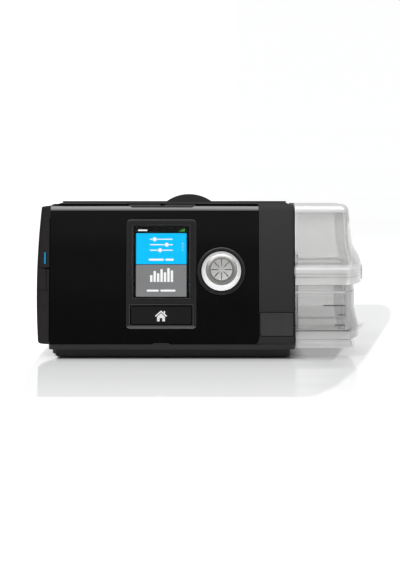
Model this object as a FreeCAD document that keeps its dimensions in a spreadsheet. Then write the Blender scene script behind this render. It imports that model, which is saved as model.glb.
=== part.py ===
# Bedside positive-airway-pressure machine with a heated water tub, built as separate pieces.
# Millimetres and degrees. X runs to the right, Y to the back, Z up. The origin is on the
# floor, under the middle of the whole machine.
import FreeCAD, Part
import math
import os
import re
import Sketcher
from FreeCAD import Vector

document = FreeCAD.newDocument("AirwayMachine")
sheet = document.addObject("Spreadsheet::Sheet", "Sizes")

# ------------------------------------------------------------------ driving dimensions
SIZES = {
    # the whole machine
    "overall_width": 255, "overall_depth": 150, "body_top": 116, "front_inset": 2.4,
    "wall": 2.5, "panel_gap": 0.3, "running_gap": 0.08, "seat_gap": 0.1,
    # moulded body: the front leans back, the left end carries a bowed cover
    "face_tilt": 10, "lip_setback": 1.5, "lip_top": 10.9, "lip_height": 3.6,
    "fascia_width": 159, "strip_width": 27, "port_reach": 25, "top_radius": 7,
    "fascia_corner": 5,
    "fascia_thickness": 2.2, "fascia_return": 21, "rear_radius": 9, "lip_side": 0.6,
    # base pan, feet and screws
    "plinth_clearance": 1, "plinth_inset": 3.6, "plinth_front_inset": 9, "plinth_corner": 3,
    "pan_floor": 2.4, "latch_width": 14.4, "latch_rise": 1,
    "foot_radius": 6.5, "foot_seat": 1.8, "foot_inset": 14,
    "post_radius": 4, "post_height": 16, "post_bore": 1.4, "screw_head": 3, "screw_head_height": 2,
    "screw_length": 14,
    # bowed left cover and the pieces let into it
    "cover_bulge": 13.5, "cover_wall": 2.2, "cover_bottom": 11, "cover_top": 113.8,
    "cover_foot_bulge": 12.3, "cover_head_bulge": 9.7, "cover_inset": 1.2, "cover_seam": 0.5,
    "card_door_front": 2.6, "card_door_length": 34.6, "card_door_relief": 2.8, "card_door_bottom": 51.7,
    "card_door_height": 16.5,
    "adapter_from_back": 48, "adapter_length": 30, "adapter_bottom": 42, "adapter_height": 30,
    "light_bar_front": 2.35, "light_bar_length": 1.35, "light_bar_bottom": 71.5,
    "light_bar_height": 8.5,
    # display
    "bezel_from_left": 58, "bezel_width": 53.2, "bezel_bottom": 11.9, "bezel_height": 83.6,
    "bezel_proud": 0.8, "bezel_corner": 3, "window_width": 45.4, "window_height": 57.3,
    "window_rise": 22.4, "window_corner": 1.6, "window_sunk": 0.5, "window_thickness": 1.3,
    "lcd_margin": 1, "lcd_side_border": 2.1, "lcd_end_border": 0.8,
    "board_setback": 6.9, "board_thickness": 1.6,
    "sensor_radius": 0.9, "sensor_drop": 4.6, "sensor_gap": 2,
    "key_width": 46.2, "key_height": 13.9, "key_rise": 3.4, "key_corner": 2.2,
    "key_thickness": 1.9, "key_proud": 0.5,
    # dial
    "dial_from_bezel": 19, "dial_rise": 55.9, "dial_ring_radius": 18.2, "dial_ring_bore": 15.9,
    "dial_ring_height": 1.6, "knob_radius": 15, "knob_top_radius": 12.4, "knob_height": 9.6,
    "knob_lift": 1.1, "trim_radius": 11.9, "trim_height": 1.6, "dial_cap_radius": 8.2,
    "dial_grooves": 8, "dial_groove_width": 0.9, "dial_groove_depth": 0.7, "shaft_radius": 3,
    "bush_radius": 5.4, "encoder_size": 16, "encoder_depth": 7,
    # start and stop button, let into the top front edge
    "start_from_left": 59.5, "start_width": 51, "start_depth": 13, "start_height": 6.5,
    "start_travel": 1, "start_reach": 0.8, "start_slant": 3, "start_slant_depth": 2,
    "start_skin": 2.4, "start_notch": 0.9, "start_notch_radius": 3.1, "start_stem_back": 8.7,
    # rear: hose outlet, power inlet, filter
    "outlet_from_left": 105, "outlet_z": 90.5, "boss_radius": 32, "boss_depth": 7.6,
    "brow_depth": 18, "brow_sink": 3, "boss_proud": 4,
    "connector_radius": 25, "connector_depth": 8, "port_radius": 11,
    "port_bore": 9.25, "outlet_seal_depth": 1.6,
    "power_from_left": 76, "power_z": 28, "power_radius": 7.5, "power_bore": 5.2, "power_depth": 12,
    "power_pin_radius": 1.2, "power_proud": 0.6, "power_flange": 9.5,
    "filter_from_left": 11, "filter_width": 46, "filter_bottom": 30, "filter_height": 54,
    "filter_frame": 2.4, "filter_depth": 6, "slot_width": 2.4, "slot_pitch": 6, "slot_margin": 7,
    # bay for the water tub
    "bay_depth": 64, "bay_from_front": 31.1, "bay_from_back": 8, "bay_floor": 13, "bay_roof": 84,
    "bay_wall": 2, "port_z": 50, "outlet_port_inset": 20, "tube_radius": 9.5,
    "tube_wall": 1.8, "seal_wall": 1.6,
    # water tub
    "tub_gap": 0.6, "tub_wall": 2.2, "tub_side_gap": 2, "tub_inner_gap": 4, "tub_from_back": 4,
    "tub_bottom": 8, "tub_lift": 0.3, "tub_rim": 62, "skirt_bottom": 55.6, "skirt_top": 70.4,
    "skirt_gap": 0.5, "tub_front_set": 1, "lid_set": 1.4, "skirt_bulge": 9.9,
    "skirt_inset": 10.5, "shoulder_top": 86, "shoulder_inset": 13.6, "shoulder_bulge": 5.7,
    "lid_top": 115.5, "lid_inset": 15.5, "lid_bulge": 4.8, "lid_round": 4.5, "lid_corner": 3,
    "tab_width": 22, "tab_bottom": 57.5, "tab_height": 11,
    "inner_roof": 72, "seal_height": 1, "base_inset": 15.2, "base_bulge": 9.5, "base_step": 0.5,
    "step_z": 49.5, "flare_top": 36, "rim_top": 21.4, "rim_height": 6.8, "rim_inset": 12,
    "rim_bulge": 10, "rim_proud": 1.2, "foot_inset_top": 12.2, "foot_inset_low": 11.1,
    "tub_foot_bulge": 4.4,
    "hinge_inset": 3.4, "hinge_lift": 1.2, "hinge_radius": 2.8, "hinge_pin": 1.3, "ear_width": 5,
    "baffle_length": 26, "baffle_height": 18,
    # heater
    "heater_margin": 14, "heater_thickness": 1.4, "plate_thickness": 0.9, "heater_overlap": 2,
    # blower
    "blower_from_left": 54, "blower_behind": 2.4, "fan_radius": 22, "fan_height": 11, "fan_blades": 11,
    "blade_thickness": 1.2, "hub_radius": 7, "volute_start": 26.5, "volute_growth": 2.4,
    "volute_depth": 15, "volute_cover_depth": 9, "volute_wall": 2, "nozzle_end": 36,
    "nozzle_offset": 24.4,
    "fan_eye": 12, "motor_radius": 18, "motor_height": 20, "motor_shaft": 2,
    "bearing_radius": 5, "bearing_height": 3, "mount_radius": 30,
    "mount_wall": 4, "foam_thickness": 11,
    # main board
    "board_from_left": 32, "board_from_front": 27.1, "board_length": 78, "board_height": 76,
    "can_length": 32, "can_height": 24, "can_depth": 3.2, "rail_length": 8, "card_depth": 32,
}

# Places worked out from the driving dimensions.
PLACES = {
    "body_left": "cover_bulge - overall_width / 2",
    "fascia_right": "body_left + fascia_width",
    "fascia_end": "fascia_right - panel_gap",
    "body_right": "fascia_right + strip_width",
    "body_back": "overall_depth / 2 - port_reach",
    "front_y": "front_inset - overall_depth / 2",
    "foot_y": "front_y + lip_setback",
    "lip_bottom": "lip_top - lip_height",
    "face_wall": "wall + fascia_thickness",
    "face_top_y": "foot_y + (body_top - lip_top) * tan(face_tilt)",
    "fascia_back": "face_top_y + fascia_return",
    "pan_top": "plinth_clearance + pan_floor",
    "bezel_left": "body_left + bezel_from_left",
    "bezel_right": "bezel_left + bezel_width",
    "bezel_top": "bezel_bottom + bezel_height",
    "bezel_middle": "bezel_left + bezel_width / 2",
    "window_left": "bezel_middle - window_width / 2",
    "window_right": "bezel_middle + window_width / 2",
    "window_bottom": "bezel_bottom + window_rise",
    "window_top": "window_bottom + window_height",
    "key_left": "bezel_middle - key_width / 2",
    "key_right": "bezel_middle + key_width / 2",
    "key_bottom": "bezel_bottom + key_rise",
    "key_top": "key_bottom + key_height",
    "board_front": "0 - board_setback",
    "board_rear": "board_front - board_thickness",
    "dial_x": "bezel_right + dial_from_bezel",
    "start_left": "body_left + start_from_left",
    "start_right": "start_left + start_width",
    "start_middle": "start_left + start_width / 2",
    "start_front": "face_top_y + fascia_thickness - start_reach",
    "start_back": "start_front + start_depth",
    "start_floor": "body_top - start_height - start_travel - seat_gap",
    "outlet_x": "body_left + outlet_from_left",
    "boss_back": "body_back + boss_proud",
    "connector_front": "boss_back - connector_depth",
    "power_x": "body_left + power_from_left",
    "filter_left": "body_left + filter_from_left",
    "filter_right": "filter_left + filter_width",
    "filter_top": "filter_bottom + filter_height",
    "bay_left": "body_right - bay_depth",
    "bay_front": "foot_y + bay_from_front",
    "bay_back": "body_back - bay_from_back",
    "outlet_port_y": "bay_back - outlet_port_inset",
    "tub_left": "body_right + tub_gap",
    "tub_front": "bay_front + tub_side_gap",
    "tub_rear": "bay_back - tub_side_gap",
    "tub_inner_end": "bay_left + tub_inner_gap",
    "tub_back": "body_back - tub_from_back",
    "tub_end": "overall_width / 2",
    "tub_middle": "(foot_y + (skirt_bottom - lip_top) * tan(face_tilt) + tub_front_set + tub_back) / 2",
    "tub_floor": "bay_floor + tub_lift",
    "base_top": "tub_rim - seal_height - seat_gap",
    "base_set": "tub_front_set + tub_wall + skirt_gap + 0.4",
    "rim_bottom": "rim_top - rim_height",
    "hinge_x": "tub_inner_end + hinge_inset",
    "hinge_z": "tub_rim + hinge_lift",
    "heater_left": "bay_left + heater_margin",
    "heater_right": "body_right - heater_margin",
    "heater_front": "bay_front + heater_margin",
    "heater_back": "bay_back - heater_margin",
    "blower_x": "body_left + blower_from_left",
    "blower_y": "(bay_front + bay_back) / 2 + blower_behind",
    "inlet_port_y": "blower_y - nozzle_offset",
    "volute_floor": "port_z - volute_depth",
    "volute_roof": "port_z + volute_cover_depth",
    "nozzle_x": "blower_x + nozzle_end",
    "card_door_back": "foot_y + (card_door_top - lip_top) * tan(face_tilt) + card_door_length",
    "card_door_top": "card_door_bottom + card_door_height",
    "card_y": "foot_y + (card_door_top - lip_top) * tan(face_tilt) + face_wall / cos(face_tilt) + 1",
    "adapter_front": "body_back - adapter_from_back",
    "adapter_back": "adapter_front + adapter_length",
    "adapter_top": "adapter_bottom + adapter_height",
    "light_bar_back": "light_bar_front + light_bar_length",
    "light_bar_top": "light_bar_bottom + light_bar_height",
    "cover_back": "body_back - rear_radius",
    "board_x": "body_left + board_from_left",
    "board_y": "foot_y + board_from_front",
}

for row, (alias, value) in enumerate(SIZES.items(), start=1):
    sheet.set(f"A{row}", alias)
    sheet.set(f"B{row}", str(value))
    sheet.setAlias(f"B{row}", alias)
document.recompute()


# ------------------------------------------------------------------ helpers
def formula(text):
    """Write a formula in size and place names as the document's own expression."""
    def spell(match):
        word = match.group(0)
        if word in PLACES:
            return "(" + formula(PLACES[word]) + ")"
        return "Sizes." + word if word in SIZES else word
    return re.sub(r"[a-z][a-z_0-9]*", spell, str(text))


def number(text):
    """Work a formula out."""
    value = sheet.evalExpression(formula(text))
    return float(getattr(value, "Value", value))


def bind(thing, name, text):
    thing.setExpression(name, formula(text))


def face_y(height, behind="0"):
    """Y of the leaning front at a height, or of a plane a distance behind it."""
    return f"(foot_y + (({height}) - lip_top) * tan(face_tilt) + ({behind}) / cos(face_tilt))"


def body(label, x="0", y="0", z="0", lean="0"):
    """A new piece, placed at x, y, z and leaning back about X."""
    piece = document.addObject("PartDesign::Body", label)
    piece.Label = label
    bind(piece, "Placement",
         f"placement(vector(({x}); ({y}); ({z})); rotation(vector(1; 0; 0); 0 - ({lean})))")
    return piece


def face_body(label, x="0", rise="0"):
    """A piece that lies on the leaning front, placed at x and at a rise up the slope."""
    return body(label, x, f"foot_y + ({rise}) * sin(face_tilt)",
                f"lip_top + ({rise}) * cos(face_tilt)", "face_tilt")


def constrain(sketch, kind, text, *where):
    index = sketch.addConstraint(Sketcher.Constraint(kind, *where, number(text)))
    sketch.setExpression(f"Constraints[{index}]", formula(text))


def outline(*points):
    """A closed outline of corners (x, y); ("via", x, y) makes the stretch there an arc."""
    corners = [point for point in points if point[0] != "via"]
    bends = {}
    for index, point in enumerate(points):
        if point[0] == "via":
            before = sum(1 for earlier in points[:index] if earlier[0] != "via") - 1
            bends[before] = (point[1], point[2])

    def draw(sketch):
        first = sketch.GeometryCount
        places = [Vector(number(x), number(y), 0) for x, y in corners]
        count = len(places)
        ends = []
        for index, start in enumerate(places):
            end = places[(index + 1) % count]
            if index in bends:
                middle = Vector(number(bends[index][0]), number(bends[index][1]), 0)
                leftward = (middle - start).cross(end - middle).z > 0
                arc = Part.Arc(start, middle, end) if leftward else Part.Arc(end, middle, start)
                ends.append((sketch.addGeometry(arc),) + ((1, 2) if leftward else (2, 1)))
            else:
                ends.append((sketch.addGeometry(Part.LineSegment(start, end)), 1, 2))
        for index in range(count):
            after = ends[(index + 1) % count]
            sketch.addConstraint(Sketcher.Constraint("Coincident", ends[index][0], ends[index][2],
                                                     after[0], after[1]))
        for index, (x, y) in enumerate(corners):
            constrain(sketch, "DistanceX", x, -1, 1, ends[index][0], ends[index][1])
            constrain(sketch, "DistanceY", y, -1, 1, ends[index][0], ends[index][1])
        for index, (x, y) in bends.items():
            point = sketch.addGeometry(Part.Point(Vector(number(x), number(y), 0)), True)
            constrain(sketch, "DistanceX", x, -1, 1, point, 1)
            constrain(sketch, "DistanceY", y, -1, 1, point, 1)
            sketch.addConstraint(Sketcher.Constraint("PointOnObject", point, 1, first + index))
    return draw


def box(x0, y0, x1, y1):
    return outline((x0, y0), (x1, y0), (x1, y1), (x0, y1))


def round_box(x0, y0, x1, y1, radius):
    """A rectangle with rounded corners."""
    def draw(sketch):
        left, low, right, high = number(x0), number(y0), number(x1), number(y1)
        bend = number(radius)
        centres = [(right - bend, low + bend, -90), (right - bend, high - bend, 0),
                   (left + bend, high - bend, 90), (left + bend, low + bend, 180)]
        arcs = []
        for x, y, angle in centres:
            corner = Part.Circle(Vector(x, y, 0), Vector(0, 0, 1), bend)
            arcs.append(sketch.addGeometry(
                Part.ArcOfCircle(corner, math.radians(angle), math.radians(angle + 90))))
        for index, arc in enumerate(arcs):
            after = arcs[(index + 1) % 4]
            start = sketch.Geometry[arc].EndPoint
            line = sketch.addGeometry(Part.LineSegment(start, sketch.Geometry[after].StartPoint))
            sketch.addConstraint(Sketcher.Constraint("Tangent", arc, 2, line, 1))
            sketch.addConstraint(Sketcher.Constraint("Tangent", line, 2, after, 1))
            flat = "Vertical" if index in (0, 2) else "Horizontal"
            sketch.addConstraint(Sketcher.Constraint(flat, line))
            side, text = (("DistanceX", x1), ("DistanceY", y1), ("DistanceX", x0),
                          ("DistanceY", y0))[index]
            constrain(sketch, side, text, -1, 1, line, 1)
            if index:
                sketch.addConstraint(Sketcher.Constraint("Equal", arcs[0], arc))
        constrain(sketch, "Radius", radius, arcs[0])
    return draw


def circle(x, y, radius):
    def draw(sketch):
        made = sketch.addGeometry(Part.Circle(Vector(number(x), number(y), 0), Vector(0, 0, 1),
                                              number(radius)))
        constrain(sketch, "DistanceX", x, -1, 1, made, 3)
        constrain(sketch, "DistanceY", y, -1, 1, made, 3)
        constrain(sketch, "Radius", radius, made)
    return draw


def ring(x, y, outer, inner):
    return [circle(x, y, outer), circle(x, y, inner)]


def drawing(piece, name, plane, level, loops):
    """A sketch on one of the piece's own planes, moved by level along the plane's normal.

    XZ has its normal to the front. FACE is the leaning front itself, for a piece that
    stands upright."""
    role = {"XY": "XY_Plane", "XZ": "XZ_Plane", "YZ": "YZ_Plane", "FACE": "XZ_Plane"}[plane]
    sketch = piece.newObject("Sketcher::SketchObject", name)
    origin = next(item for item in piece.Origin.OriginFeatures if item.Role == role)
    sketch.AttachmentSupport = [(origin, "")]
    sketch.MapMode = "FlatFace"
    if plane == "FACE":
        bind(sketch, "AttachmentOffset",
             f"placement(vector(0; lip_top + ({level}) * sin(face_tilt);"
             f" ({level}) * cos(face_tilt) - foot_y);"
             " rotation(vector(1; 0; 0); 0 - face_tilt))")
    else:
        bind(sketch, "AttachmentOffset.Base.z", level)
    for loop in loops:
        for draw in loop if isinstance(loop, list) else [loop]:
            draw(sketch)
    return sketch


def volume(piece):
    document.recompute()
    return piece.Shape.Volume


def pad(piece, name, plane, low, high, *loops):
    """Add a plate or block between two levels of a plane."""
    sketch = drawing(piece, name + "_outline", plane, low, loops)
    feature = piece.newObject("PartDesign::Pad", name)
    feature.Profile = sketch
    bind(feature, "Length", f"({high}) - ({low})")
    return feature


def cut(piece, name, plane, low, high, *loops):
    """Take a pocket out between two levels of a plane."""
    before = volume(piece)
    sketch = drawing(piece, name + "_outline", plane, low, loops)
    feature = piece.newObject("PartDesign::Pocket", name)
    feature.Profile = sketch
    feature.Reversed = True
    bind(feature, "Length", f"({high}) - ({low})")
    if volume(piece) >= before:
        raise ValueError(f"{piece.Label}: {name} cuts nothing")
    return feature


def revolve(piece, name, plane, axis, *loops, take=False):
    """Turn a section about the sketch's H or V axis; take cuts it out."""
    sketch = drawing(piece, name + "_section", plane, "0", loops)
    feature = piece.newObject("PartDesign::Groove" if take else "PartDesign::Revolution", name)
    feature.Profile = sketch
    feature.ReferenceAxis = (sketch, [axis + "_Axis"])
    feature.Angle = 360
    return feature


def loft(piece, name, sections, take=False, ruled=False):
    """Join sections, each (level, loop) on XY, into one form; take cuts it out.

    It is smooth from end to end, or ruled from each section to the next."""
    kind = "PartDesign::SubtractiveLoft" if take else "PartDesign::AdditiveLoft"
    sketches = [drawing(piece, f"{name}_section_{index}", "XY", level, [loop])
                for index, (level, loop) in enumerate(sections)]
    feature = piece.newObject(kind, name)
    feature.Profile = sketches[0]
    feature.Sections = sketches[1:]
    feature.Ruled = ruled
    return feature


def edges_where(piece, test):
    """Names of the edges whose middle and direction pass a test."""
    document.recompute()
    found = []
    for index, edge in enumerate(piece.Tip.Shape.Edges, start=1):
        middle = edge.valueAt((edge.FirstParameter + edge.LastParameter) / 2)
        along = edge.tangentAt((edge.FirstParameter + edge.LastParameter) / 2)
        if test(middle, along):
            found.append(f"Edge{index}")
    return found


def near(value, text, slack=0.05):
    return abs(value - number(text)) < slack


def fillet(piece, name, radius, test):
    names = edges_where(piece, test)
    if not names:
        raise ValueError(f"{piece.Label}: no edge for {name}")
    base = piece.Tip
    feature = piece.newObject("PartDesign::Fillet", name)
    feature.Base = (base, names)
    bind(feature, "Radius", radius)
    return feature


def repeat(piece, feature, axis, spacing, count):
    """Repeat a feature along an axis of the origin, spacing apart."""
    pattern = piece.newObject("PartDesign::LinearPattern", feature.Name + "_row")
    pattern.Originals = [feature]
    line = next(item for item in piece.Origin.OriginFeatures if item.Role == axis)
    pattern.Direction = (line, [""])
    bind(pattern, "Length", f"({spacing}) * ({count} - 1)")
    pattern.Occurrences = int(round(number(count)))
    piece.Tip = pattern
    return pattern


def repeat_round(piece, feature, axis, count):
    pattern = piece.newObject("PartDesign::PolarPattern", feature.Name + "_ring")
    pattern.Originals = [feature]
    line = next(item for item in piece.Origin.OriginFeatures if item.Role == axis)
    pattern.Axis = (line, [""])
    pattern.Angle = 360
    pattern.Occurrences = int(round(number(count)))
    piece.Tip = pattern
    return pattern


# ------------------------------------------------------------------ moulded body
def front_profile(back, top, behind="0", foot="lip_top"):
    """Side view of the body: leaning front, flat top, upright back."""
    return outline((face_y(foot, behind), foot), (face_y(top, behind), top), (back, top),
                   (back, foot))


def latch_outline(gap):
    """Front view of the tab that holds the fascia's foot, and of the notch that it fills."""
    half = f"(latch_width / 2 + {gap})"
    short = f"(latch_width * 0.35 + {gap})"
    return outline((f"bezel_middle - {half}", "lip_top - 0.5"), (f"bezel_middle + {half}", "lip_top - 0.5"),
                   (f"bezel_middle + {half}", "lip_top"),
                   (f"bezel_middle + {short}", f"lip_top + latch_rise + {gap}"),
                   (f"bezel_middle - {short}", f"lip_top + latch_rise + {gap}"),
                   (f"bezel_middle - {half}", "lip_top"))


def make_base_pan():
    piece = body("base_pan")
    low = "plinth_clearance"
    left, right = "body_left + plinth_inset", "body_right - plinth_inset"
    bend = "plinth_corner"
    pad(piece, "plinth", "XZ", "plinth_inset - body_back", "0 - front_y - plinth_front_inset",
        outline((left, "lip_bottom"), (left, f"{low} + {bend}"),
                ("via", f"{left} + {bend} * (1 - sin(45))", f"{low} + {bend} * (1 - sin(45))"),
                (f"{left} + {bend}", low), (f"{right} - {bend}", low),
                ("via", f"{right} - {bend} * (1 - sin(45))", f"{low} + {bend} * (1 - sin(45))"),
                (right, f"{low} + {bend}"), (right, "lip_bottom")))
    pad(piece, "lip", "XY", "lip_bottom", "lip_top",
        round_box("body_left - lip_side", "front_y", "body_right", "body_back", "3"))
    cut(piece, "hollow", "XY", "pan_top", "lip_top + 1",
        round_box(f"{left} + wall", "front_y + plinth_front_inset + wall", f"{right} - wall",
                  "body_back - plinth_inset - wall", f"{bend} / 2"))
    pad(piece, "latch_tab", "XZ", "0.2 - foot_y - fascia_thickness", "0 - front_y - 0.4",
        latch_outline("0"))
    pad(piece, "posts", "XY", "pan_top", "lip_top",
        *[circle(x, y, "post_radius") for x, y in POSTS])
    cut(piece, "screw_holes", "XY", "0", "lip_top + 1",
        *[circle(x, y, "post_bore + seat_gap") for x, y in POSTS])
    cut(piece, "screw_recesses", "XY", "0", "plinth_clearance + screw_head_height",
        *[circle(x, y, "screw_head + seat_gap") for x, y in POSTS])
    cut(piece, "foot_seats", "XY", "0", "plinth_clearance + foot_seat",
        *[circle(x, y, "foot_radius + seat_gap") for x, y in FEET])
    rails = [box(f"({x})", "board_y - 3", f"({x}) + rail_length", "board_y + board_thickness + 3")
             for x in ("board_x + 4", "board_x + board_length - 12")]
    pad(piece, "board_rails", "XY", "pan_top", "lip_top + 3", *rails)
    return piece


POSTS = [("body_left + wall + 3", "foot_y + 11"), ("body_right - wall - 10", "foot_y + 11"),
         ("body_left + wall + 3", "body_back - wall - 3"), ("bay_left - 12", "body_back - wall - 3")]
FEET = [("body_left + foot_inset + 12", "front_y + plinth_front_inset + foot_inset"),
        ("body_right - foot_inset - 12", "front_y + plinth_front_inset + foot_inset"),
        ("body_left + foot_inset + 12", "body_back - plinth_inset - foot_inset"),
        ("body_right - foot_inset", "body_back - plinth_inset - foot_inset")]


def make_feet():
    piece = body("rubber_feet")
    pad(piece, "pads", "XY", "0", "plinth_clearance + foot_seat",
        *[circle(x, y, "foot_radius") for x, y in FEET])
    return piece


def make_screws():
    piece = body("base_screws")
    pad(piece, "heads", "XY", "plinth_clearance", "plinth_clearance + screw_head_height",
        *[circle(x, y, "screw_head") for x, y in POSTS])
    pad(piece, "shanks", "XY", "plinth_clearance + screw_head_height",
        "plinth_clearance + screw_head_height + screw_length",
        *[circle(x, y, "post_bore") for x, y in POSTS])
    return piece


def start_plan(left, front, right, back):
    """Plan of the start key and of its slot, with the two front corners cut off."""
    return outline((f"{left} + start_slant", front), (f"{right} - start_slant", front),
                   (right, f"{front} + start_slant_depth"), (right, back), (left, back),
                   (left, f"{front} + start_slant_depth"))


def start_opening(gap):
    return start_plan(f"start_left - {gap}", f"start_front - {gap}", f"start_right + {gap}",
                      f"start_back + {gap}")


def make_main_housing():
    """Upper shell: carries the fascia, the bay, the outlet boss and the filter frame."""
    piece = body("main_housing")
    step = "body_top - fascia_thickness"
    pad(piece, "middle", "YZ", "body_left", "fascia_right",
        outline((face_y("lip_top", "fascia_thickness"), "lip_top"),
                (face_y(step, "fascia_thickness"), step), ("fascia_back", step),
                ("fascia_back", "body_top"), ("body_back", "body_top"), ("body_back", "lip_top")))
    fillet(piece, "step_round", "top_radius - fascia_thickness",
           lambda middle, along: abs(along.x) > 0.9 and near(middle.z, step)
           and near(middle.y, face_y(step, "fascia_thickness")))
    pad(piece, "end_strip", "YZ", "fascia_right", "body_right",
        front_profile("body_back", "body_top"))
    fillet(piece, "strip_round", "top_radius",
           lambda middle, along: abs(along.x) > 0.9 and near(middle.z, "body_top")
           and near(middle.y, "face_top_y"))
    seat = "(fascia_corner + panel_gap)"
    low = "fascia_thickness * tan(face_tilt)"
    centre = "fascia_end - fascia_corner"
    pad(piece, "fascia_corner_fill", "FACE", "0 - fascia_thickness", "0",
        outline((f"{centre} + sqrt({seat}^2 - (fascia_corner - {low})^2)", low),
                ("fascia_right", low), ("fascia_right", "fascia_corner"),
                ("via", f"{centre} + {seat} * cos(45)", f"fascia_corner - {seat} * sin(45)")))
    fillet(piece, "rear_corners", "rear_radius",
           lambda middle, along: abs(along.z) > 0.9 and near(middle.y, "body_back"))
    fillet(piece, "rear_top_edge", "3",
           lambda middle, along: near(middle.z, "body_top") and abs(along.x) > 0.9
           and near(middle.y, "body_back"))
    inner_top = "body_top - face_wall"
    cut(piece, "cavity", "YZ", "body_left + wall", "body_right - wall",
        front_profile("body_back - wall", inner_top, "face_wall", "lip_top - 1"))
    pad(piece, "screw_posts", "XY", "lip_top", "lip_top + post_height",
        *[circle(x, y, "post_radius") for x, y in POSTS])
    cut(piece, "post_holes", "XY", "lip_top - 1", "lip_top + post_height - 2",
        *[circle(x, y, "post_bore") for x, y in POSTS])
    pad(piece, "outlet_boss", "XZ", "0 - boss_back", "boss_depth - boss_back",
        circle("outlet_x", "outlet_z", "boss_radius"))
    chord = "sqrt(boss_radius^2 - (body_top - brow_sink - outlet_z)^2)"
    pad(piece, "outlet_brow", "XZ", "0 - boss_back", "brow_depth - boss_back",
        outline((f"outlet_x - {chord}", "body_top - brow_sink"),
                (f"outlet_x + {chord}", "body_top - brow_sink"),
                ("via", "outlet_x", "outlet_z + boss_radius")))
    cut(piece, "outlet_seat", "XZ", "0 - boss_back - 1", "boss_depth - boss_back + 1",
        circle("outlet_x", "outlet_z", "connector_radius + panel_gap"))
    rim = "filter_frame"
    pad(piece, "filter_tray", "XZ", "wall - body_back", "wall + filter_depth - body_back",
        box(f"filter_left + wall - {rim}", f"filter_bottom + wall - {rim}",
            f"filter_right - wall + {rim}", f"filter_top - wall + {rim}"))
    cut(piece, "filter_tray_bore", "XZ", "0 - body_back - 1", "wall + filter_depth + 1 - body_back",
        box("filter_left + wall", "filter_bottom + wall", "filter_right - wall",
            "filter_top - wall"))
    cut(piece, "filter_cover_seat", "XZ", "0 - body_back - 1", "wall / 2 - body_back",
        box("filter_left - panel_gap", "filter_bottom - panel_gap", "filter_right + panel_gap",
            "filter_top + panel_gap"))
    cut(piece, "power_hole", "XZ", "0 - body_back - 1", "wall + 1 - body_back",
        circle("power_x", "power_z", "power_radius + seat_gap"))
    cut(piece, "bay_opening", "YZ", "body_right - wall - 1", "body_right + 1",
        box("bay_front", "bay_floor", "bay_back", "bay_roof"))
    cut(piece, "card_opening", "YZ", "body_left - 1", "body_left + wall + 1",
        box("card_y - 0.5", "card_door_bottom + 2", "card_y + 27.5", "card_door_top - 2"))
    cut(piece, "adapter_opening", "YZ", "body_left - 1", "body_left + wall + 1",
        box("adapter_front + 5.5", "adapter_bottom + 7.5", "adapter_front + 24.5",
            "adapter_bottom + 22.5"))
    behind = "0 - face_wall - 1"
    ahead = "1 - fascia_thickness"
    cut(piece, "screen_opening", "FACE", behind, ahead,
        box("window_left + lcd_margin", "window_bottom + lcd_margin",
            "window_right - lcd_margin", "window_top - lcd_margin"))
    cut(piece, "key_opening", "FACE", behind, ahead,
        box("bezel_middle - 8", "key_bottom + 3", "bezel_middle + 8", "key_top - 3"))
    cut(piece, "dial_opening", "FACE", behind, ahead,
        circle("dial_x", "dial_rise", "bush_radius + panel_gap"))
    cut(piece, "sensor_hole", "FACE", behind, ahead,
        circle(SENSOR[0], SENSOR[1], "sensor_radius + seat_gap"))
    cut(piece, "start_slot", "XY", "start_floor - panel_gap", "body_top + 1",
        start_opening("panel_gap"))
    return piece


def make_front_fascia():
    """Gloss skin over the front and the top front edge."""
    piece = body("front_fascia")
    skin = "fascia_thickness"
    under = f"body_top - {skin}"
    pad(piece, "skin", "YZ", "body_left", "fascia_end",
        outline((face_y("lip_top"), "lip_top"), ("face_top_y", "body_top"),
                ("fascia_back", "body_top"), ("fascia_back", under),
                (face_y(under, skin), under), (face_y("lip_top", skin), "lip_top")))
    fillet(piece, "outer_round", "top_radius",
           lambda middle, along: abs(along.x) > 0.9 and near(middle.z, "body_top")
           and near(middle.y, "face_top_y"))
    fillet(piece, "inner_round", f"top_radius - {skin}",
           lambda middle, along: abs(along.x) > 0.9 and near(middle.z, under)
           and near(middle.y, face_y(under, skin)))
    fillet(piece, "foot_corner", "fascia_corner",
           lambda middle, along: near(middle.x, "fascia_end") and near(middle.z, "lip_top"))
    cut(piece, "bezel_opening", "FACE", f"0 - {skin} - 1", "1",
        round_box("bezel_left - seat_gap", "bezel_bottom - seat_gap", "bezel_right + seat_gap",
                  "bezel_top + seat_gap", "bezel_corner"))
    cut(piece, "dial_opening", "FACE", f"0 - {skin} - 1", "1",
        circle("dial_x", "dial_rise", "bush_radius + panel_gap"))
    cut(piece, "latch_notch", "XZ", "0 - foot_y - fascia_thickness - 1", "1 - front_y",
        latch_outline("panel_gap / 2"))
    cut(piece, "sensor_hole", "FACE", f"0 - {skin} - 1", "1",
        circle(SENSOR[0], SENSOR[1], "sensor_radius + seat_gap"))
    cut(piece, "start_slot", "XY", "body_top - top_radius - 1", "body_top + 1",
        start_opening("panel_gap"))
    return piece


# ------------------------------------------------------------------ bowed left cover
COVER_LEVELS = [("cover_bottom", "cover_foot_bulge"), ("cover_bottom + 32", "cover_bulge"),
                ("cover_top - 32", "cover_bulge - 1"), ("cover_top", "cover_head_bulge")]
OUTSIDE = "0 - overall_width / 2 - 1"


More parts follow.
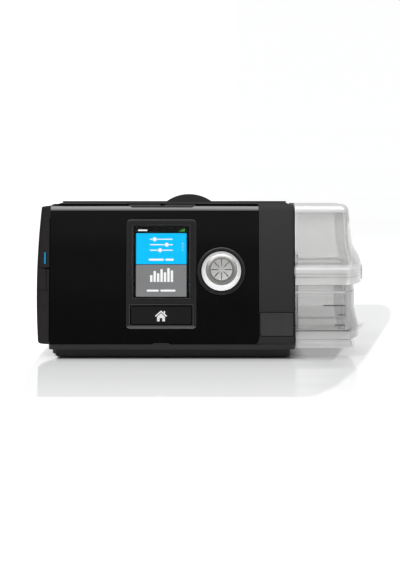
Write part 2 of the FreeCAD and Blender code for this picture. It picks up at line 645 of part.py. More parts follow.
def cover_form(piece):
    """The bowed end as a loft of plans, hollowed on its flat side.

    Each plan turns a tight bend at the front and then sweeps back in one long arc."""
    outer = []
    inner = []
    skin = "cover_wall"
    for index, (level, bulge) in enumerate(COVER_LEVELS):
        front = f"({face_y(level)} + cover_inset)"
        fullest = f"{front} + (cover_back - {front}) * 0.41"
        outer.append((level, outline(
            ("body_left", front), ("via", f"body_left - ({bulge}) * 0.462", f"{front} + 3"),
            (f"body_left - ({bulge}) * 0.72", f"{front} + 9"),
            ("via", f"body_left - ({bulge})", fullest), ("body_left", "cover_back"))))
        raised = {0: f"({level}) + {skin}", 3: f"({level}) - {skin}"}.get(index, level)
        inner.append((raised, outline(
            ("body_left + 0.5", f"{front} + 3.2"),
            ("via", f"body_left - ({bulge}) * 0.4", f"{front} + 6.2"),
            (f"body_left - ({bulge}) * 0.72 + {skin}", f"{front} + 11.5"),
            ("via", f"body_left - ({bulge}) + {skin}", fullest),
            ("body_left + 0.5", f"cover_back - {skin} * 2.5"))))
    loft(piece, "bow", outer)
    loft(piece, "bow_hollow", inner, take=True)


def leaning_window(front, bottom, back, top, gap="0"):
    """A window with an upright rear edge; its front edge leans at a distance from the face."""
    low, high = f"{bottom} - {gap}", f"{top} + {gap}"
    return outline((f"{face_y(low)} + {front} - {gap}", low), (f"{back} + {gap}", low),
                   (f"{back} + {gap}", high), (f"{face_y(high)} + {front} - {gap}", high))


def slanted_window(front, bottom, back, top, gap="0"):
    """A window whose front and rear edges both lean with the face."""
    low, high = f"{bottom} - {gap}", f"{top} + {gap}"
    return outline((f"{face_y(low)} + {front} - {gap}", low),
                   (f"{face_y(low)} + {back} + {gap}", low),
                   (f"{face_y(high)} + {back} + {gap}", high),
                   (f"{face_y(high)} + {front} - {gap}", high))


def upright_window(front, bottom, back, top, gap="0"):
    return box(f"{front} - {gap}", f"{bottom} - {gap}", f"{back} + {gap}", f"{top} + {gap}")


CARD_DOOR = (leaning_window, "card_door_front", "card_door_bottom", "card_door_back",
             "card_door_top")
ADAPTER = (upright_window, "adapter_front", "adapter_bottom", "adapter_back", "adapter_top")
LIGHT_BAR = (slanted_window, "light_bar_front", "light_bar_bottom", "light_bar_back",
             "light_bar_top")


def make_left_cover():
    piece = body("left_side_cover")
    cover_form(piece)
    for name, (window, *edges), gap in (("card_window", CARD_DOOR, "panel_gap"),
                                        ("adapter_window", ADAPTER, "panel_gap"),
                                        ("light_window", LIGHT_BAR, "seat_gap / 4")):
        cut(piece, name, "YZ", OUTSIDE, "body_left + 1", window(*edges, gap=gap))
    seam_front = face_y("card_door_top")
    cut(piece, "front_seam", "YZ", OUTSIDE, "body_left - 1",
        box(f"{seam_front} - 1", "card_door_top", f"{seam_front} + cover_inset + 1.9",
            "card_door_top + cover_seam"))
    return piece


def make_cover_panel(label, panel, back="body_left + 1"):
    """A piece of the same bow that fills one of its windows, out from the plane at back."""
    window, *edges = panel
    piece = body(label)
    cover_form(piece)
    cut(piece, "trim", "YZ", OUTSIDE, "body_left + 1",
        box("0 - overall_depth", "0", "overall_depth", "overall_depth"), window(*edges))
    if back != "body_left + 1":
        cut(piece, "back_clearance", "YZ", back, "body_left + 1",
            box("0 - overall_depth", "0", "overall_depth", "overall_depth"))
    return piece


def make_card():
    """Memory card, pushed in along X with its edge showing behind the door."""
    piece = body("memory_card", "body_left - 2.5", "card_y + 1.5", "card_door_bottom + 8")
    pad(piece, "card", "XY", "0", "2.1",
        outline(("0", "0"), ("card_depth - 3.5", "0"), ("card_depth", "3.5"), ("card_depth", "24"),
                ("0", "24")))
    return piece


def make_card_socket():
    piece = body("card_socket", "body_left", "card_y", "card_door_bottom + 6.5")
    pad(piece, "shell", "XY", "0", "5.1", box("0", "0", "card_depth - 0.8", "27"))
    cut(piece, "slot", "YZ", "0 - 1", "card_depth - 2.3",
        box("1.5 - seat_gap", "1.5 - seat_gap", "25.5 + seat_gap", "3.6 + seat_gap"))
    return piece


def make_adapter_socket():
    piece = body("adapter_socket", "body_left - 2", "adapter_front + 6", "adapter_bottom + 8")
    pad(piece, "shell", "YZ", "0", "14", box("0", "0", "18", "14"))
    cut(piece, "socket", "YZ", "0 - 1", "5", box("1.6", "1.6", "16.4", "12.4"))
    pad(piece, "tongue", "YZ", "0.8", "6", box("4", "6", "14", "8"))
    return piece


# ------------------------------------------------------------------ display
def make_bezel():
    piece = face_body("screen_bezel")
    pad(piece, "frame", "XZ", "0 - fascia_thickness", "bezel_proud",
        round_box("bezel_left", "bezel_bottom", "bezel_right", "bezel_top", "bezel_corner"))
    fillet(piece, "front_edge", "0.6",
           lambda middle, along: near(middle.y, "0 - bezel_proud"))
    cut(piece, "window", "XZ", "0 - fascia_thickness - 1", "bezel_proud + 1",
        round_box("window_left", "window_bottom", "window_right", "window_top", "window_corner"))
    cut(piece, "key_window", "XZ", "0 - fascia_thickness - 1", "bezel_proud + 1",
        round_box("key_left - panel_gap", "key_bottom - panel_gap", "key_right + panel_gap",
                  "key_top + panel_gap", "key_corner"))
    return piece


SENSOR = ("bezel_right + sensor_gap", "bezel_top - sensor_drop")


def make_window():
    piece = face_body("screen_window")
    front = "bezel_proud - window_sunk"
    pad(piece, "pane", "XZ", f"{front} - window_thickness", front,
        round_box("window_left + seat_gap", "window_bottom + seat_gap", "window_right - seat_gap",
                  "window_top - seat_gap", "window_corner"))
    return piece


def make_lcd():
    """Screen module: a thin frame round a raised glass, standing on the display board."""
    piece = face_body("screen_module")
    gap = "(lcd_margin + panel_gap)"
    glass = "bezel_proud - window_sunk - window_thickness - seat_gap"
    pad(piece, "module", "XZ", "board_front", glass,
        box(f"window_left + {gap}", f"window_bottom + {gap}", f"window_right - {gap}",
            f"window_top - {gap}"))
    cut(piece, "active_area", "XZ", f"{glass} - 0.3", f"{glass} + 1",
        box(f"window_left + {gap} + lcd_side_border", f"window_bottom + {gap} + lcd_end_border",
            f"window_right - {gap} - lcd_side_border", f"window_top - {gap} - lcd_end_border"))
    return piece


def make_display_board():
    piece = face_body("display_board")
    pad(piece, "board", "XZ", "board_rear", "board_front",
        box("bezel_left - 2", "bezel_bottom", "dial_x + encoder_size", "bezel_top + 3"))
    cut(piece, "dial_hole", "XZ", "board_rear - 1", "board_front + 1",
        circle("dial_x", "dial_rise", "bush_radius + panel_gap"))
    holes = [("bezel_left + 1", "bezel_bottom + 3"), ("dial_x + 12", "bezel_bottom + 3"),
             ("bezel_left + 1", "bezel_top"), ("dial_x + 12", "bezel_top")]
    pad(piece, "standoffs", "XZ", "board_front", "0 - face_wall",
        *[circle(x, y, "2.2") for x, y in holes])
    return piece


def make_home_button():
    """Wide key under the screen, with a stem that reaches its switch."""
    piece = face_body("home_button", "bezel_middle", "key_bottom + key_height / 2")
    back = "key_proud - key_thickness"
    pad(piece, "cap", "XZ", back, "key_proud",
        round_box("0 - key_width / 2", "0 - key_height / 2", "key_width / 2", "key_height / 2",
                  "key_corner - panel_gap"))
    fillet(piece, "rim", "0.4", lambda middle, along: near(middle.y, "0 - key_proud"))
    pad(piece, "stem", "XZ", "board_front + 2.8 + panel_gap", back,
        box("0 - 6", "0 - 2.6", "6", "2.6"))
    return piece


def make_home_switch():
    piece = face_body("home_switch", "bezel_middle", "key_bottom + key_height / 2")
    pad(piece, "case", "XZ", "board_front", "board_front + 1.8 - seat_gap",
        box("0 - 3", "0 - 2.4", "3", "2.4"))
    return piece


def make_light_sensor():
    piece = face_body("light_sensor_lens", SENSOR[0], SENSOR[1])
    pad(piece, "pipe", "XZ", "board_front", "0.1", circle("0", "0", "sensor_radius"))
    return piece


# ------------------------------------------------------------------ dial
def dial_body(label):
    return face_body(label, "dial_x", "dial_rise")


def turned(piece, name, *points):
    """Turn a section, given as (radius, distance out from the face), about the dial axis."""
    section = [point[:-2] + (f"0 - ({point[-1]})", point[-2]) for point in points]
    return revolve(piece, name, "YZ", "H", outline(*section))


def make_dial_ring():
    piece = dial_body("dial_ring")
    turned(piece, "ring", ("dial_ring_radius", "0"), ("dial_ring_radius", "dial_ring_height / 2"),
           ("via", "dial_ring_radius - 0.3", "dial_ring_height - 0.2"),
           ("dial_ring_radius - 1", "dial_ring_height"), ("dial_ring_bore", "dial_ring_height"),
           ("dial_ring_bore", "0"))
    return piece


def make_dial_knob():
    """Translucent knob: a flared cup with a hub that grips the shaft."""
    piece = dial_body("dial_knob")
    low = "knob_lift"
    high = "knob_lift + knob_height"
    turned(piece, "cup", ("knob_radius", low), ("knob_radius", f"{low} + 1"),
           ("via", "(knob_radius + knob_top_radius) / 2 + 0.5", f"{low} + knob_height * 0.55"),
           ("knob_top_radius", high), ("trim_radius", high),
           ("trim_radius", f"{high} - 1.2"), ("shaft_radius", f"{high} - 1.2"),
           ("shaft_radius", f"{low} + 2"), ("shaft_radius + 2", f"{low} + 2"),
           ("shaft_radius + 2", f"{high} - 3"), ("knob_top_radius - 2", f"{high} - 3"),
           ("knob_radius - 2", low))
    return piece


def make_dial_trim():
    """Bevelled metal ring round the dial's end."""
    piece = dial_body("dial_trim_ring")
    base = "knob_lift + knob_height - 1.2"
    top = "knob_lift + knob_height + trim_height"
    turned(piece, "ring", ("trim_radius", base), ("trim_radius", "knob_lift + knob_height + 0.3"),
           ("via", "(trim_radius + dial_cap_radius) / 2 + 0.4",
            "knob_lift + knob_height + trim_height * 0.72"),
           ("dial_cap_radius + seat_gap", top), ("dial_cap_radius + seat_gap", base))
    return piece


def make_dial_cap():
    """Metal end disc with shallow finger grooves that run out from the middle."""
    piece = dial_body("dial_cap")
    base = "knob_lift + knob_height - 1.2"
    top = "knob_lift + knob_height + trim_height - 0.2"
    turned(piece, "disc", ("0", base), ("dial_cap_radius", base), ("dial_cap_radius", top),
           ("via", "dial_cap_radius / 2", f"{top} - 0.3"), ("0", f"{top} - 0.4"))
    groove = cut(piece, "groove", "XZ", f"{top} - 0.3 - dial_groove_depth", f"{top} + 1",
                 round_box("0 - dial_groove_width / 2", "dial_cap_radius * 0.3",
                           "dial_groove_width / 2", "dial_cap_radius * 0.88",
                           "dial_groove_width * 0.45"))
    repeat_round(piece, groove, "Y_Axis", "dial_grooves")
    return piece


def make_dial_shaft():
    piece = dial_body("dial_shaft")
    out = "knob_lift + knob_height - 1.2"
    inner = "board_rear - encoder_depth + 2"
    pad(piece, "shaft", "XZ", inner, "knob_lift + 2", circle("0", "0", "shaft_radius - running_gap"))
    pad(piece, "splined_end", "XZ", "knob_lift + 2", out, circle("0", "0", "shaft_radius"))
    return piece


def make_dial_bush():
    """Sliding sleeve that lets the dial be pressed as well as turned."""
    piece = dial_body("dial_bush")
    inner = "board_rear - encoder_depth + 2"
    pad(piece, "sleeve", "XZ", inner, "0", ring("0", "0", "bush_radius", "shaft_radius"))
    return piece


def make_dial_encoder():
    piece = dial_body("dial_encoder")
    half = "encoder_size / 2"
    pad(piece, "case", "XZ", "board_rear - encoder_depth", "board_rear",
        box(f"0 - {half}", f"0 - {half}", half, half))
    cut(piece, "bore", "XZ", "board_rear - encoder_depth + 1", "board_rear + 1",
        circle("0", "0", "bush_radius + panel_gap"))
    return piece


# ------------------------------------------------------------------ start and stop button
def make_start_button():
    """Long key in the top front edge, with a small notch in its middle for a fingertip."""
    piece = body("start_button", "start_middle", "start_front", "body_top")
    half = "start_width / 2"
    pad(piece, "key", "XY", "0 - start_height", "0",
        start_plan(f"0 - {half}", "0", half, "start_depth"))
    fillet(piece, "front_round", "0.5",
           lambda middle, along: abs(along.x) > 0.7 and near(middle.z, "0")
           and middle.y < number("start_slant_depth"))
    cut(piece, "notch", "XZ", "0 - start_depth - 1", "1",
        circle("0", "start_notch_radius - start_notch", "start_notch_radius"))
    cut(piece, "underside", "XY", "0 - start_height - 1", "0 - start_skin",
        box(f"2 - {half}", "2.2", f"{half} - 2", "start_depth - 1.5"))
    pad(piece, "stem", "XY", "0 - start_height", "0.4 - start_skin",
        box("0 - 4", "start_stem_back - 2", "4", "start_stem_back + 2"))
    return piece


def make_start_switch():
    """Side-acting switch on a bracket under the start button."""
    piece = body("start_switch", "start_middle", "start_front + start_stem_back", "start_floor")
    pad(piece, "case", "XY", "0 - 5", "0", box("0 - 4", "0 - 3", "4", "3"))
    return piece


def make_switch_bracket():
    """Bent strip that hangs from the roof behind the start button and carries its switch."""
    piece = body("switch_bracket", "start_middle", "start_front + start_stem_back",
                 "start_floor - 5")
    rise = "body_top - face_wall - (start_floor - 5)"
    leg = "start_depth - start_stem_back + 1"
    pad(piece, "shelf", "XY", "0 - 1.2", "0", box("0 - 7", "0 - 3", "7", f"{leg} + 1.2"))
    pad(piece, "leg", "XY", "0", rise, box("0 - 7", leg, "7", f"{leg} + 1.2"))
    return piece


# ------------------------------------------------------------------ rear fittings
def make_filter_cover():
    """Slotted flap over the air inlet, flush with the back."""
    piece = body("filter_cover")
    pad(piece, "flap", "XZ", "0 - body_back", "wall / 2 - body_back",
        box("filter_left", "filter_bottom", "filter_right", "filter_top"))
    slot = cut(piece, "slot", "XZ", "0 - body_back - 1", "wall - body_back",
               box("filter_left + slot_margin", "filter_bottom + slot_margin",
                   "filter_left + slot_margin + slot_width", "filter_top - slot_margin"))
    repeat(piece, slot, "X_Axis", "slot_pitch", "floor((filter_width - 2 * slot_margin) / slot_pitch)")
    return piece


def make_air_filter():
    piece = body("air_filter")
    gap = "(wall + panel_gap)"
    pad(piece, "pad", "XZ", "wall / 2 + panel_gap - body_back", "filter_depth - body_back",
        box(f"filter_left + {gap}", f"filter_bottom + {gap}", f"filter_right - {gap}",
            f"filter_top - {gap}"))
    return piece


def outlet_body(label):
    return body(label, "outlet_x", "0", "outlet_z")


def make_outlet_connector():
    """Removable outlet: a disc in the boss and a tapered hose port."""
    piece = outlet_body("outlet_connector")
    end = "overall_depth / 2"
    revolve(piece, "form", "YZ", "H",
            outline(("connector_front", "port_bore"), ("connector_front", "connector_radius"),
                    ("boss_back - 1.5", "connector_radius"),
                    ("via", "boss_back - 0.4", "connector_radius - 0.5"),
                    ("boss_back", "connector_radius - 1.5"), ("boss_back - 1", "port_radius + 5"),
                    ("via", "boss_back + 0.4", "port_radius + 1.5"), ("boss_back + 4", "port_radius"),
                    (f"{end} - 1", "port_radius"), (end, "port_radius - 0.6"),
                    (end, "port_bore")))
    return piece


def make_outlet_seal():
    piece = outlet_body("outlet_seal")
    pad(piece, "ring", "XZ", "0 - connector_front", "outlet_seal_depth - connector_front",
        ring("0", "0", "port_bore + 4", "port_bore + 1"))
    return piece


def make_outlet_duct():
    """Moulded elbow from the tub bay up to the outlet."""
    piece = body("outlet_duct", "outlet_x", "outlet_port_y", "port_z")
    outer, bore = "tube_radius + tube_wall", "tube_radius"
    reach = "bay_left - bay_wall - outlet_x"
    rise = "outlet_z - port_z"
    end = "connector_front - outlet_seal_depth - outlet_port_y"
    pad(piece, "foot", "YZ", "0", reach, circle("0", "0", outer))
    pad(piece, "riser", "XY", "0", rise, circle("0", "0", outer))
    revolve(piece, "lower_ball", "XZ", "V",
            outline(("0", f"0 - ({outer})"), ("via", outer, "0"), ("0", outer)))
    pad(piece, "head", "XZ", f"0 - ({end})", f"{outer} + 2", circle("0", rise, outer))
    cut(piece, "foot_bore", "YZ", "0", f"{reach} + 1", circle("0", "0", bore))
    cut(piece, "riser_bore", "XY", "0", rise, circle("0", "0", bore))
    cut(piece, "head_bore", "XZ", f"0 - ({end}) - 1", f"{outer}", circle("0", rise, bore))
    revolve(piece, "ball_bore", "XZ", "V",
            outline(("0", f"0 - ({bore})"), ("via", bore, "0"), ("0", bore)), take=True)
    pad(piece, "flange", "XZ", f"0 - ({end})", f"2 - ({end})",
        ring("0", rise, "port_bore + 5.5", bore))
    return piece


def make_power_inlet():
    """Round socket for the supply plug, with a flange behind the wall."""
    piece = body("power_inlet", "power_x", "0", "power_z")
    back = "body_back + power_proud"
    revolve(piece, "shell", "YZ", "H",
            outline((f"{back} - power_depth", "0"), (f"{back} - power_depth", "power_radius"),
                    ("body_back - wall - 2", "power_radius"), ("body_back - wall - 2", "power_flange"),
                    ("body_back - wall", "power_flange"), ("body_back - wall", "power_radius"),
                    (f"{back} - 0.5", "power_radius"), (back, "power_radius - 0.5"),
                    (back, "power_bore"), (f"{back} - power_depth + 2", "power_bore"),
                    (f"{back} - power_depth + 2", "0")))
    return piece


def make_power_pin():
    piece = body("power_pin", "power_x", "0", "power_z")
    back = "body_back + power_proud"
    pad(piece, "pin", "XZ", f"2 - ({back})", f"power_depth - 2 - ({back})",
        circle("0", "0", "power_pin_radius"))
    return piece


# ------------------------------------------------------------------ tub bay and heater
def make_tub_bay():
    """Liner that the tub slides into: open to the right, with two air ports in its end."""
    piece = body("tub_bay")
    shell = "bay_wall"
    pad(piece, "block", "YZ", f"bay_left - {shell}", "body_right",
        box(f"bay_front - {shell}", f"bay_floor - {shell}", f"bay_back + {shell}",
            f"bay_roof + {shell}"))
    cut(piece, "mouth_step", "YZ", "body_right - wall", "body_right + 1",
        box("0 - overall_depth", "0", "overall_depth", "overall_depth"),
        box("bay_front", "bay_floor", "bay_back", "bay_roof"))
    cut(piece, "room", "YZ", "bay_left", "body_right + 1",
        box("bay_front", "bay_floor", "bay_back", "bay_roof"))
    cut(piece, "ports", "YZ", f"bay_left - {shell} - 1", "bay_left + 1",
        circle("inlet_port_y", "port_z", "tube_radius"),
        circle("outlet_port_y", "port_z", "tube_radius"))
    cut(piece, "heater_window", "XY", f"bay_floor - {shell} - 1", "bay_floor + 1",
        box("heater_left", "heater_front", "heater_right", "heater_back"))
    return piece


def make_bay_seals():
    """Two soft lips that the tub's end pushes against."""
    piece = body("bay_port_seals")
    for name, y in (("inlet", "inlet_port_y"), ("outlet", "outlet_port_y")):
        pad(piece, name + "_lip", "YZ", "bay_left - bay_wall", "tub_inner_end - panel_gap",
            ring(y, "port_z", "tube_radius", "tube_radius - seal_wall"))
    return piece


def make_heater_cradle():
    """Tray on the base pan that holds the heater plate up in the bay's floor."""
    piece = body("heater_cradle")
    edge = "heater_overlap"
    top = "bay_floor - heater_thickness"
    low = "pan_top"
    pad(piece, "tray", "XY", low, "bay_floor - bay_wall",
        box(f"heater_left - {edge}", f"heater_front - {edge}", f"heater_right + {edge}",
            f"heater_back + {edge}"))
    pad(piece, "deck", "XY", "bay_floor - bay_wall", top,
        box("heater_left + seat_gap", "heater_front + seat_gap", "heater_right - seat_gap",
            "heater_back - seat_gap"))
    cut(piece, "hollow", "XY", low + " - 1", f"{top} + 1",
        box("heater_left + 4", "heater_front + 4", "heater_right - 4", "heater_back - 4"))
    return piece


def make_heater_plate():
    piece = body("heater_plate")
    gap = "seat_gap"
    pad(piece, "plate", "XY", "bay_floor - heater_thickness", "bay_floor",
        round_box(f"heater_left + {gap}", f"heater_front + {gap}", f"heater_right - {gap}",
                  f"heater_back - {gap}", "2"))
    return piece


# ------------------------------------------------------------------ water tub
def tub_plan(level, end_inset, bulge, set_back, bend, inset="0", left="tub_left"):
    """Plan of the tub outside the bay: leaning front, bowed right end, rounded corners."""
    front = f"({face_y(level, set_back)} + {inset})"
    back = f"(tub_back + tub_front_set - ({set_back}) - {inset})"
    end = f"(tub_end - ({end_inset}) - {inset})"
    turn = f"(({bend}) - {inset} / 2)"
    return outline((left, front), (f"{end} - {turn}", front),
                   ("via", f"{end} - {turn} * 0.29", f"{front} + {turn} * 0.29"),
                   (end, f"{front} + {turn}"),
                   ("via", f"{end} + {bulge}", f"({front} + {back}) / 2"),
                   (end, f"{back} - {turn}"),
                   ("via", f"{end} - {turn} * 0.29", f"{back} - {turn} * 0.29"),
                   (f"{end} - {turn}", back), (left, back))


# Levels of the tub's outside: height, end's inset, its bow, set back from the face, corner.
LID_SET = "tub_front_set + lid_set"
SHOULDER = [("skirt_top", "skirt_inset", "skirt_bulge - 0.2", "tub_front_set + 0.8", "5.2"),
            ("skirt_top + 4.6", "skirt_inset + 0.5", "skirt_bulge - 0.6", LID_SET, "4.5"),
            ("skirt_top + 9.6", "skirt_inset + 2", "skirt_bulge - 1.9", LID_SET, "3.5"),
            ("shoulder_top", "shoulder_inset", "shoulder_bulge", LID_SET, "lid_corner")]
CROWN = [("shoulder_top", "shoulder_inset", "shoulder_bulge", LID_SET, "lid_corner"),
         ("lid_top - lid_round", "lid_inset", "lid_bulge", LID_SET, "lid_corner")]
BROW = [("lid_top - lid_round", "0"), ("lid_top - lid_round / 2", "0.134"),
        ("lid_top - lid_round * 0.134", "0.5"), ("lid_top", "1")]
SKIRT = [("skirt_bottom", "skirt_inset", "skirt_bulge", "tub_front_set", "6.5"),
         ("skirt_top", "skirt_inset", "skirt_bulge", "tub_front_set", "6.5")]
BASE = [("tub_bottom", "foot_inset_low", "tub_foot_bulge", "base_set", "3.2"),
        ("rim_bottom - 0.5", "foot_inset_top", "tub_foot_bulge", "base_set", "3.2"),
        ("rim_bottom", "rim_inset", "rim_bulge - 0.8", "base_set - rim_proud", "4"),
        ("rim_top", "rim_inset", "rim_bulge", "base_set - rim_proud", "4"),
        ("rim_top + 0.6", "rim_inset + 1.9", "rim_bulge + 1.7", "base_set", "3.4"),
        ("flare_top - 7", "base_inset - 0.1", "base_bulge + 1.5", "base_set", "3"),
        ("flare_top", "base_inset", "base_bulge", "base_set", "3"),
        ("step_z", "base_inset", "base_bulge", "base_set", "3"),
        ("step_z + 0.3", "base_inset + base_step", "base_bulge", "base_set + base_step", "3"),
        ("base_top", "base_inset + base_step", "base_bulge", "base_set + base_step", "3")]
WATER = [("tub_bottom + tub_wall", "foot_inset_top", "tub_foot_bulge", "base_set", "3.2"),
         ("rim_bottom + tub_wall", "foot_inset_top", "tub_foot_bulge", "base_set", "3.2"),
         BASE[4], BASE[5], BASE[6],
         ("base_top + 1", "base_inset + base_step", "base_bulge", "base_set + base_step", "3")]


def tub_form(levels, inset="0", left="tub_left"):
    return [(level[0], tub_plan(*level, inset, left)) for level in levels]


def brow_form():
    """Sections of the quarter round over the lid's top edge, each a share of it further in."""
    return [(level, tub_plan(level, *CROWN[1][1:], f"({share} * lid_round)"))
            for level, share in BROW]


def make_tub_lid():
    """Clear lid: domed outer end, overhanging skirt and a low roof over the inner end."""
    piece = body("tub_lid")
    skin = "tub_wall"
    loft(piece, "shoulder", tub_form(SHOULDER))
    loft(piece, "crown", tub_form(CROWN))
    loft(piece, "brow", brow_form())
    loft(piece, "skirt", tub_form(SKIRT))
    pad(piece, "thumb_tab", "XY", "tab_bottom", "tab_bottom + tab_height",
        round_box("tub_end - 3", "tub_middle - tab_width / 2", "tub_end", "tub_middle + tab_width / 2",
                  "1.2"))
    start = "hinge_x"
    pad(piece, "inner_roof", "XY", "tub_rim", "inner_roof",
        round_box(start, "tub_front", "tub_left + 4", "tub_rear", "2"))
    low, *rest = tub_form(SHOULDER, skin, f"tub_left + {skin}")
    loft(piece, "shoulder_room", [(f"{low[0]} - {skin} - 0.2", low[1])] + rest, take=True)
    crown = [CROWN[0], (f"lid_top - {skin}",) + CROWN[1][1:]]
    loft(piece, "crown_room", tub_form(crown, skin, f"tub_left + {skin}"), take=True)
    low, high = tub_form(SKIRT, skin, "tub_left - 1")
    loft(piece, "skirt_room", [low, (f"{high[0]} - {skin}", high[1])], take=True)
    cut(piece, "inner_room", "XY", "tub_rim - 1", f"inner_roof - {skin}",
        box(f"{start} + hinge_radius + 2", f"tub_front + {skin}", "tub_left + 8",
            f"tub_rear - {skin}"))
    cut(piece, "knuckle_room", "XZ", "0 - tub_rear - 1", "1 - tub_front",
        circle("hinge_x", "hinge_z", "hinge_radius + panel_gap"))
    pad(piece, "knuckle", "XZ", "0 - tub_rear + ear_width + panel_gap",
        "0 - tub_front - ear_width - panel_gap", circle("hinge_x", "hinge_z", "hinge_radius"))
    pad(piece, "knuckle_web", "XZ", "0 - tub_rear + ear_width + panel_gap",
        "0 - tub_front - ear_width - panel_gap",
        box("hinge_x", "hinge_z", "hinge_x + hinge_radius + 3", "hinge_z + hinge_radius"))
    cut(piece, "knuckle_bore", "XZ", "0 - tub_rear - 1", "1 - tub_front",
        circle("hinge_x", "hinge_z", "hinge_pin + running_gap"))
    return piece


def make_tub_base():
    """Water chamber: a flared outer end on a stepped rim, and a box that fills the bay."""
    piece = body("tub_base")
    skin = "tub_wall"
    loft(piece, "outer_end", tub_form(BASE), ruled=True)
    pad(piece, "inner_end", "XY", "tub_floor", "base_top",
        round_box("tub_inner_end", "tub_front", "tub_left + 4", "tub_rear", "2"))
    loft(piece, "outer_room", tub_form(WATER, skin, f"tub_left + {skin}"), take=True, ruled=True)
    cut(piece, "inner_room", "XY", f"tub_floor + {skin}", "base_top + 1",
        round_box(f"tub_inner_end + {skin}", f"tub_front + {skin}", "tub_left + 8",
                  f"tub_rear - {skin}", "2"))
    cut(piece, "air_ports", "YZ", "tub_inner_end - 1", f"tub_inner_end + {skin} + 1",
        circle("inlet_port_y", "port_z", "tube_radius - seal_wall"),
        circle("outlet_port_y", "port_z", "tube_radius - seal_wall"))
    cut(piece, "plate_window", "XY", "tub_floor - 1", f"tub_floor + {skin} + 1",
        round_box("heater_left + 4", "heater_front + 4", "heater_right - 4", "heater_back - 4", "3"))
    cut(piece, "plate_seat", "XY", "tub_floor - 1", "tub_floor + plate_thickness",
        round_box("heater_left + 1", "heater_front + 1", "heater_right - 1", "heater_back - 1", "3"))
    for name, low in (("front_ear", "tub_front"), ("rear_ear", "tub_rear - ear_width")):
        pad(piece, name, "XZ", f"0 - ({low}) - ear_width", f"0 - ({low})",
            outline(("tub_inner_end", "base_top - 4"), ("hinge_x + hinge_radius", "base_top - 4"),
                    ("hinge_x + hinge_radius", "hinge_z"),
                    ("via", "hinge_x", "hinge_z + hinge_radius"), ("hinge_x - hinge_radius", "hinge_z"),
                    ("hinge_x - hinge_radius", "base_top"), ("tub_inner_end", "base_top")))
    cut(piece, "knuckle_relief", "XZ", "ear_width - tub_rear", "0 - tub_front - ear_width",
        circle("hinge_x", "hinge_z", "hinge_radius + panel_gap"))
    cut(piece, "pin_holes", "XZ", "0 - tub_rear - 1", "1 - tub_front",
        circle("hinge_x", "hinge_z", "hinge_pin"))
    return piece


def make_hinge_pin():
    piece = body("lid_hinge_pin", "hinge_x", "0", "hinge_z")
    pad(piece, "pin", "XZ", "0 - tub_rear", "0 - tub_front", circle("0", "0", "hinge_pin"))
    return piece


def make_tub_seal():
    """Soft gasket under the lid, along the three sides of the inner end."""
    piece = body("tub_seal")
    inset = "tub_wall / 2"
    width = "tub_wall * 0.6"
    start = "hinge_x + hinge_radius + 1"
    reach = "tub_left + 6"
    low = "tub_rim - seal_height"
    pad(piece, "gasket", "XY", low, "tub_rim",
        box(start, f"tub_front + {inset} - {width} / 2", reach, f"tub_rear - {inset} + {width} / 2"))
    cut(piece, "middle", "XY", f"{low} - 1", "tub_rim + 1",
        box(f"{start} - 1", f"tub_front + {inset} + {width} / 2", f"{reach} + 1",
            f"tub_rear - {inset} - {width} / 2"))
    return piece


def make_tub_plate():
    """Metal floor of the tub, dished a little at its edge, over the heater."""
    piece = body("tub_heat_plate")
    pad(piece, "plate", "XY", "tub_floor", "tub_floor + plate_thickness",
        round_box("heater_left + 1 + seat_gap", "heater_front + 1 + seat_gap",
                  "heater_right - 1 - seat_gap", "heater_back - 1 - seat_gap", "3"))
    return piece


def make_tub_baffle():
    """Guide that sends the incoming air over the water before it leaves."""
    piece = body("tub_baffle")
    middle = "(inlet_port_y + outlet_port_y) / 2"
    start = "tub_inner_end + tub_wall"
    pad(piece, "wall", "XY", "port_z - baffle_height / 2", "base_top - 4",
        outline((start, f"{middle} - 0.8"), (f"{start} + baffle_length", f"{middle} - 5.8"),
                (f"{start} + baffle_length", f"{middle} - 4.2"), (start, f"{middle} + 0.8")))
    return piece


# ------------------------------------------------------------------ blower
def blower_body(label, z):
    return body(label, "blower_x", "blower_y", z)


def spiral(inset="0"):
    """Volute outline: four quarter arcs, each with a larger radius than the one before."""
    half = "volute_growth / 2"
    centres = [(half, half), (f"0 - {half}", half), (f"0 - {half}", f"0 - {half}"),
               (half, f"0 - {half}")]
    ways = [((0, -1), (1, 0)), ((1, 0), (0, 1)), ((0, 1), (-1, 0)), ((-1, 0), (0, -1))]
    points = []
    for turn, ((x, y), (first, last)) in enumerate(zip(centres, ways)):
        reach = f"(volute_start + volute_growth * {turn} - {inset})"
        slant = [f"({first[axis] + last[axis]}) * sin(45)" for axis in (0, 1)]
        points.append((f"{x} + {reach} * ({first[0]})", f"{y} + {reach} * ({first[1]})"))
        points.append(("via", f"{x} + {reach} * {slant[0]}", f"{y} + {reach} * {slant[1]}"))
    points.append((f"{half}", f"0 - {half} - {reach}"))
    return outline(*points)


def make_blower_mount():
    """Soft ring that stands the blower on the base pan and takes up its hum."""
    piece = blower_body("blower_mount", "pan_top")
    tall = "volute_floor - pan_top"
    outer, inner = "mount_radius", "mount_radius - mount_wall"
    waist = f"{outer} - 3"
    revolve(piece, "bellows", "XZ", "V",
            outline((inner, "0"), (outer, "0"), (outer, f"({tall}) * 0.15"),
                    ("via", waist, f"({tall}) * 0.3"), (outer, f"({tall}) * 0.45"),
                    ("via", waist, f"({tall}) * 0.6"), (outer, f"({tall}) * 0.75"),
                    (outer, tall), ("fan_eye + 2", tall), ("fan_eye + 2", f"{tall} - 2"),
                    (inner, f"{tall} - 2"), (inner, f"({tall}) * 0.75"),
                    ("via", f"{waist} - mount_wall", f"({tall}) * 0.6"), (inner, f"({tall}) * 0.45"),
                    ("via", f"{waist} - mount_wall", f"({tall}) * 0.3"), (inner, f"({tall}) * 0.15")))
    return piece


